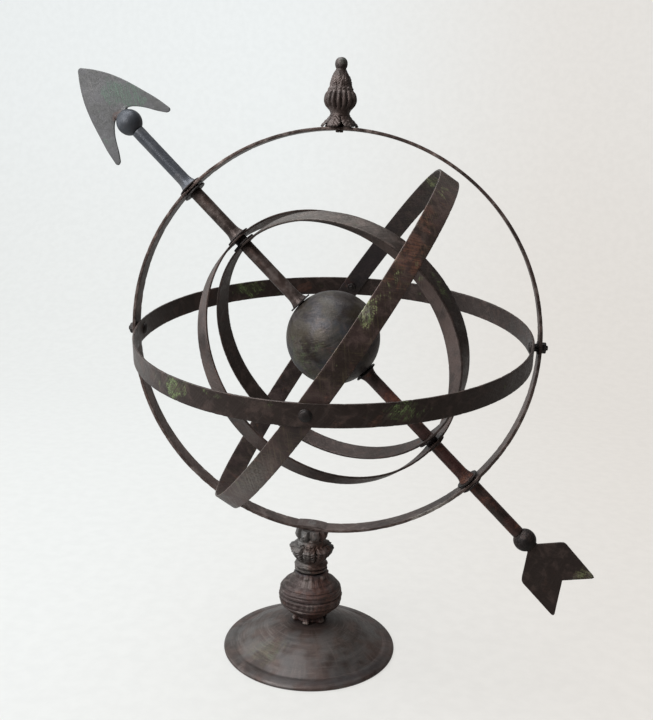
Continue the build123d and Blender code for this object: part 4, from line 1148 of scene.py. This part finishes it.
def ball_patches(l):
    w = apply(ARROW, l) - np.array([SX, SY, SZ])
    n = w / (np.linalg.norm(w, axis=1)[:, None] + 1e-9)

    def blob(d, k, amt):
        d = np.array(d) / np.linalg.norm(d)
        return amt * np.exp(-(1 - n @ d) * k)
    # The pk blob facing up darkens the top of the ball: painted shade.
    return {"pg": blob((-0.65, -0.7, -0.45), 5, 0.75), "pr": blob((0.6, -0.75, -0.1), 6, 0.45), "pk": blob((-0.1, -0.3, 0.95), 4, 0.35)}


bl = [(*lathe(np.array(outer_p + inner_p), 288), ARROW)]
piece("hollow_ball", bl, "arrow", M_BALL, "centre_ball", noise=[(0.14, 22.0, 71), (0.05, 5.0, 72)],
      mask=lambda l: smooth(np.hypot(l[:, 0], l[:, 1]), 12.5, 16.0), post=ball_post, coords=ball_coords, patches=ball_patches, sharp=60)

for nm, node, parts in (
        ("ball_cups", "ball_washers", [(*ring_disc(11.8, BALL_R + 0.0, b3, TIE_R + 0.1, 80, 0.35, wob=0.12, seed=s), ARROW if s > 0 else TAILW) for s in (1, -1)]),
        ("ring_washers", "band_washers", [(*ring_disc(WASHER_R, a - s * BAND_SHIFT, a + WASHER_T - s * BAND_SHIFT, TIE_R + 0.1, 80, 0.3, wob=0.12, seed=s + a), ARROW if s > 0 else TAILW) for s in (1, -1) for a in (g0, k0)]),
        ("hoop_pair_washers", "hoop_washers", [(*ring_disc(WASHER_R, a, a + WASHER_T, TIE_R + 0.1, 80, 0.3, wob=0.12, seed=s + a), ARROW if s > 0 else TAILW) for s in (1, -1) for a in (seg2_end, o0)]),
        ("hub_sleeves", "hub_spacers", [(*ring_disc(TUBE_R, g0 + WASHER_T - s * BAND_SHIFT, inl_tube - s * BAND_SHIFT, TUBE_IR, 72, 0.25), ARROW if s > 0 else TAILW) for s in (1, -1)]),
        ("hoop_sleeves", "hoop_spacers", [(*ring_disc(sp_r, w_in1, mer_sp, TIE_R + 0.1, 72, 0.2), ARROW if s > 0 else TAILW) for s in (1, -1)])):
    piece(nm, parts, "arrow", M_BLACK, node, sharp=38)


def end_ball(centre, r, rod_end, m, seed):
    n = 64
    rh = TIE_R + 0.02
    a = math.asin(rh / r)
    prof = [(0, rod_end + 0.05)] + [(rh, rod_end + 0.05), (rh, centre - r * math.cos(a))]
    prof += [(r * math.sin(q), centre - r * math.cos(q)) for q in np.linspace(a, math.pi, n)[1:]]
    prof[-1] = (0.0, centre + r)
    return lathe(densify(prof[:3], 1.0, False).tolist() + prof[3:], 112)


def box_mesh(x, y, z0, z1):
    v = np.array([[sx * x, sy * y, z] for sx in (-1, 1) for sy in (-1, 1) for z in (z0, z1)], float)
    return v, [[0, 1, 3, 2], [4, 6, 7, 5], [0, 4, 5, 1], [2, 3, 7, 6], [0, 2, 6, 4], [1, 5, 7, 3]]


for nm, node, c, r, hw_, rod, m, sd in (
        ("head_end_ball", "head_ball", HEAD_BALL_S, HEAD_BALL_R, 6.55, HEAD_BALL_S - 2.0, ARROW, 81),
        ("tail_end_ball", "tail_ball", TAIL_BALL_S, TAIL_BALL_R, 5.55, TAIL_BALL_S - 2.0, TAILW, 82)):
    bx = box_mesh(hw_, PLATE_T / 2 + 0.03, c + 3.0, c + 24.0)
    piece(nm, [(*end_ball(c, r, rod, m, sd), m)], "arrow", M_END_DARK if sd == 81 else M_END_TAIL, node,
          noise=[(0.10, 8.0, sd), (0.05, 2.4, sd + 1)],
          mask=lambda l, c=c: smooth(np.hypot(l[:, 0], l[:, 1]), 7.2, 8.5) * (1 - smooth(l[:, 2], c + 4.0, c + 7.0)) * (l[:, 2] > 0),
          coords=lambda l: generic(l - np.array([0, 0, 284.0]), 1.0, 7.0), cuts=[(bx[0], bx[1], m)], sharp=50)

# ------------------------------------------------------------------- the plates
tang0 = HEAD_BALL_S + 3.1
outer = [(2.3, 354.6), (10.3, 344.6), (18.6, 331.4), (25.2, 316.6), (31.2, 298.0), (35.6, 283.0), (38.0, 271.0)]
barb = [(38.0, 271.0), (38.3, 268.0), (37.2, 266.2), (35.0, 266.1), (33.0, 267.2)]
inner = [(33.0, 267.2), (28.2, 273.8), (21.8, 284.2), (16.4, 291.2), (11.4, 295.8), (6.5, 298.2)]
half = np.vstack([catmull([(0.0, 355.5), (1.3, 355.2), (2.3, 354.6)], 4)[:-1], catmull(outer, 8)[:-1], catmull(barb, 6)[:-1], catmull(inner, 8), [(6.4, tang0 + 0.1)]])
head_out = np.vstack([half, (half * np.array([-1, 1]))[::-1][:-1]])
tt0 = TAIL_BALL_S + 3.1
tail_out = np.array([(5.4, tt0 + 0.1), (5.4, 292.2), (25.0, 306.6), (27.4, 309.0), (28.1, 312.0), (26.0, 354.6), (25.2, 356.8), (23.0, 356.4),
                     (-0.6, 338.6), (-30.4, 361.6), (-32.6, 362.0), (-33.5, 359.8), (-32.4, 315.6), (-31.4, 312.6), (-28.6, 309.8),
                     (-5.4, 292.2), (-5.4, tt0 + 0.1)])


def plate_mesh(outline, hollow=0.0):
    """Sheet metal cut to an outline; local X is sideways, Z along the arrow."""
    o = densify(outline, 1.5)
    n = len(o)
    h = PLATE_T / 2 - 0.04
    v = [(x, h, z) for x, z in o] + [(x, -h, z) for x, z in o]
    f = [list(range(n)), list(range(2 * n - 1, n - 1, -1))]
    f += [[i, (i + 1) % n, (i + 1) % n + n, i + n] for i in range(n)]
    return np.array(v), f


def bead(points, r, seed, flat=0.75):
    """Row of overlapping weld blobs along a line."""
    out = []
    rng = np.random.default_rng(seed)
    for x, y, z in points:
        k = r * (0.85 + 0.3 * rng.random())
        prof = [(k * math.sin(a), k * math.cos(a) * flat) for a in np.linspace(0, math.pi, 9)]
        prof[0], prof[-1] = (0, k * flat), (0, -k * flat)
        v, f = lathe(prof, 12)
        out.append((v @ RX(90 * rng.random())[:3, :3] + np.array([x, y, z]) + (rng.random(3) - 0.5) * 0.4, f))
    return out


def plate_coords(tilt):
    def f(l):
        c, s = math.cos(tilt), math.sin(tilt)
        u, v = l[:, 0] * c + l[:, 2] * s, -l[:, 0] * s + l[:, 2] * c
        return l, np.stack([u / 1.2, l[:, 1] * 0.3, v / 18.0], -1), np.stack([u / 14.0, l[:, 1] * 0.3, v / 1.3], -1)
    return f


def plate_blobs(spots):
    def f(l):
        out = {}
        for kind, x, z, rx, rz, amt in spots:
            out[kind] = out.get(kind, 0) + amt * np.exp(-((l[:, 0] - x) / rx) ** 2 - ((l[:, 2] - z) / rz) ** 2)
        return out
    return f


def plate_post(l, co, no, d):
    return np.minimum(d, 0.10)


hv, hf = plate_mesh(head_out)
head_parts = [(hv, hf, ARROW)]
for side in (-1, 1):
    y = side * 1.0
    pts = [(x, y * 1.25, 298.0 + 0.7 * math.cos(x)) for x in np.linspace(-6.3, 6.3, 8)] + [(sx * 6.3, y, z) for sx in (-1, 1) for z in np.linspace(291.5, 297.5, 5)]
    for v, f in bead(pts, 1.5, 91 + side):
        head_parts.append((v, f, ARROW))


def in_frame(parts, m):
    """Parts set in the plate's own frame, so a voxel skin made there is square to the plate and its faces stay flat."""
    return [(v, f, np.eye(4)) for v, f, _ in parts], m


def plate_piece(name, parts, m, mat, node, seeds, coords, patches, voxel):
    local = [(v, f, np.eye(4)) for v, f, _ in parts]
    w, _, f = join(local)
    me = bpy.data.meshes.new(name + "_tmp")
    me.from_pydata((w / 1000).tolist(), [], f)
    outward(me)
    ob = bpy.data.objects.new(name + "_tmp", me)
    bpy.context.scene.collection.objects.link(ob)
    mod = ob.modifiers.new("skin", "REMESH")
    mod.mode, mod.voxel_size, mod.adaptivity = "VOXEL", voxel / 1000, 0.0
    mod = ob.modifiers.new("soften", "SMOOTH")
    mod.factor, mod.iterations = 0.5, 2
    dg = bpy.context.evaluated_depsgraph_get()
    new = bpy.data.meshes.new_from_object(ob.evaluated_get(dg))
    co = read(new, "co") * 1000
    faces = [list(p.vertices) for p in new.polygons]
    bpy.data.objects.remove(ob)
    bpy.data.meshes.remove(me)
    bpy.data.meshes.remove(new)
    return piece(name, [(co, faces, m)], "arrow", mat, node, noise=[(0.10, 14.0, seeds), (0.07, 3.2, seeds + 1)],
                 coords=coords, patches=patches, post=plate_post, sharp=55, cv_passes=1)


vox = 0.42
plate_piece("arrow_head_plate", head_parts, ARROW, M_HEAD, "arrow_head", 93, plate_coords(-0.5),
            plate_blobs([("pg", 9, 315, 10, 12, 1.5), ("pg", 20, 300, 8, 13, 1.8), ("pr", -3, 299, 7, 4, 2.0), ("pk", -7, 297, 4, 5, 0.8)]), vox)
tv, tf = plate_mesh(tail_out)
tail_parts = [(tv, tf, TAILW)]
for side in (-1, 1):
    y = side * 1.0
    pts = [(x, y * 1.2, 292.4 + 0.5 * math.cos(x)) for x in np.linspace(-5.2, 5.2, 6)]
    for v, f in bead(pts, 1.3, 95 + side):
        tail_parts.append((v, f, TAILW))
plate_piece("arrow_tail_plate", tail_parts, TAILW, M_TAIL, "arrow_tail", 97, plate_coords(-0.4),
            plate_blobs([("pg", 21, 349, 7, 9, 1.3), ("pg", 10, 343, 8, 5, 1.0), ("pl", 24, 352, 3, 5, 0.22), ("pl", 11, 344, 6, 2.0, 0.15), ("pr", -20, 335, 14, 20, 0.4)]), vox)

# --------------------------------------------------- hidden rods and base fixings
for node, mat in (("arrow_tie_rod", M_ROD), ("stem_tie_rod", M_ROD), ("base_washer", M_BLACK), ("base_nut", M_BLACK)):
    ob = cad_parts[node]
    me = ob.data
    l = read(me, "co") * 1000
    for key, val in zip(("tc", "s1", "s2"), generic(l)):
        put(me, key, val)
    for key in ("cv", "pg", "pr", "pl", "pk"):
        put(me, key, np.zeros(len(l)))
    me.materials.clear()
    me.materials.append(mat)

# ------------------------------------------------------------- stage and lights
ny, nx = 90, 2
prof = [(-3.2, 0.0), (1.0, 0.0)]
arc_r, yw = 0.8, 1.0
arc = [(yw + arc_r * math.sin(a), arc_r * (1 - math.cos(a))) for a in np.linspace(0, math.pi / 2, 24)[1:]]
sweep = [(y, 0.0) for y in np.linspace(-3.2, yw, 40)] + arc + [(yw + arc_r, z) for z in np.linspace(arc_r, 4.0, 12)[1:]]
xs = np.linspace(-4.0, 4.0, 9)
sv = np.array([[x, y, z - 0.0002] for y, z in sweep for x in xs])
me = bpy.data.meshes.new("studio_sweep")
me.from_pydata(sv.tolist(), [], grid_faces(len(sweep), len(xs), False, False))
me.polygons.foreach_set("use_smooth", np.ones(len(me.polygons), bool))
floor = bpy.data.objects.new("studio_sweep", me)
bpy.context.scene.collection.objects.link(floor)
fm = bpy.data.materials.new("studio_paper")
g = Net(fm)
geo = g.n("ShaderNodeNewGeometry")
sepn = g.n("ShaderNodeSeparateXYZ")
g.t.links.new(geo.outputs["Position"], sepn.inputs[0])
# The sweep glows, and its colour carries painted light: cool and brighter to the left, warmer and darker to the right,
# brighter up the wall.
side_light_ramp = g.step(sepn.outputs[0], -0.42, 0.55)
backdrop_light_tone = g.mix(side_light_ramp, (0.855, 0.873, 0.862), (0.800, 0.765, 0.722))
near = g.step(sepn.outputs[1], -0.95, -0.20)
grainp = g.step(g.noise(geo.outputs["Position"], 60.0, 4.0), 0.3, 0.7, 0.985, 1.015)
backdrop_light_tone = g.mix(1.0, backdrop_light_tone, grainp, "MULTIPLY")
wall_light_ramp = g.step(sepn.outputs[2], 0.02, 0.9)
backdrop_light_tone = g.mix(1.0, backdrop_light_tone, g.mix(wall_light_ramp, (1.0, 1.0, 1.0), (1.06, 1.075, 1.09)), "MULTIPLY")
em = g.n("ShaderNodeEmission")
g.feed(em.inputs["Color"], backdrop_light_tone)
path = g.n("ShaderNodeLightPath")
seen = g.mixf(path.outputs["Is Camera Ray"], g.math("MULTIPLY", near, g.mixf(side_light_ramp, 0.62, 0.34)), 1.0)
g.feed(em.inputs["Strength"], g.math("MULTIPLY", seen, 0.83))
df = g.n("ShaderNodeBsdfDiffuse")
g.feed(df.inputs["Color"], g.mix(1.0, backdrop_light_tone, 0.13, "MULTIPLY"))
add = g.n("ShaderNodeAddShader")
g.t.links.new(em.outputs[0], add.inputs[0])
g.t.links.new(df.outputs[0], add.inputs[1])
o = g.n("ShaderNodeOutputMaterial")
g.t.links.new(add.outputs[0], o.inputs[0])
me.materials.append(fm)


def area(name, direction, dist, size, power, color=(1, 1, 1)):
    d = Vector(direction).normalized()
    lt = bpy.data.lights.new(name, "AREA")
    lt.shape, lt.size, lt.energy, lt.color = "SQUARE", size, power, color
    ob = bpy.data.objects.new(name, lt)
    bpy.context.scene.collection.objects.link(ob)
    ob.location = Vector((SX, SY, SZ)) / 1000 + d * dist
    ob.rotation_mode = "QUATERNION"
    ob.rotation_quaternion = (-d).to_track_quat("-Z", "Y")
    return ob


area("key", (-0.54, -0.71, 0.50), 1.5, 0.75, 16.5, (1.0, 0.98, 0.97))
area("top", (-0.30, 0.12, 1.0), 1.6, 1.3, 27.0, (0.98, 0.99, 1.0))
area("side", (-1.0, 0.1, 0.15), 1.6, 1.2, 7.5, (0.96, 0.98, 1.0))
area("fill", (0.9, -0.7, 0.5), 2.2, 1.2, 0.8, (1.0, 0.94, 0.88))

world = bpy.data.worlds.new("studio")
bpy.context.scene.world = world
g = Net(world)
tcn = g.n("ShaderNodeTexCoord")
dot = g.n("ShaderNodeVectorMath", operation="DOT_PRODUCT")
g.t.links.new(tcn.outputs["Generated"], dot.inputs[0])
dot.inputs[1].default_value = Vector((-0.72, 0.10, 0.68)).normalized()
bright = g.step(dot.outputs["Value"], 0.0, 0.9, 0.045, 1.0)
bg = g.n("ShaderNodeBackground")
wpath = g.n("ShaderNodeLightPath")
g.feed(bg.inputs["Color"], g.mix(wpath.outputs["Is Camera Ray"], g.mix(bright, (0.85, 0.80, 0.76), (0.93, 0.97, 1.0)), (0.80, 0.80, 0.79)))
g.feed(bg.inputs["Strength"], g.mixf(wpath.outputs["Is Camera Ray"], bright, 0.92))
ow = g.n("ShaderNodeOutputWorld")
g.t.links.new(bg.outputs[0], ow.inputs[0])

# ------------------------------------------------------------------------ camera
cam = bpy.data.cameras.new("camera")
co_ = bpy.data.objects.new("camera", cam)
bpy.context.scene.collection.objects.link(co_)
right, down, fwd = Vector((0.99257, 0.11822, 0.02812)), Vector((0.05209, -0.20473, -0.97745)), Vector((-0.10984, 0.97168, -0.20942))
rot = Matrix((right, -down, -fwd)).transposed()
co_.matrix_world = Matrix.Translation((0.108185, -0.868724, 0.498202)) @ rot.to_4x4()
cam.sensor_width, cam.sensor_fit = 36.0, "AUTO"
cam.lens = 45.0
cam.clip_start, cam.clip_end = 0.01, 50.0
bpy.context.scene.camera = co_
bpy.context.scene.view_settings.view_transform = "Standard"
bpy.context.scene.view_settings.look = "None"
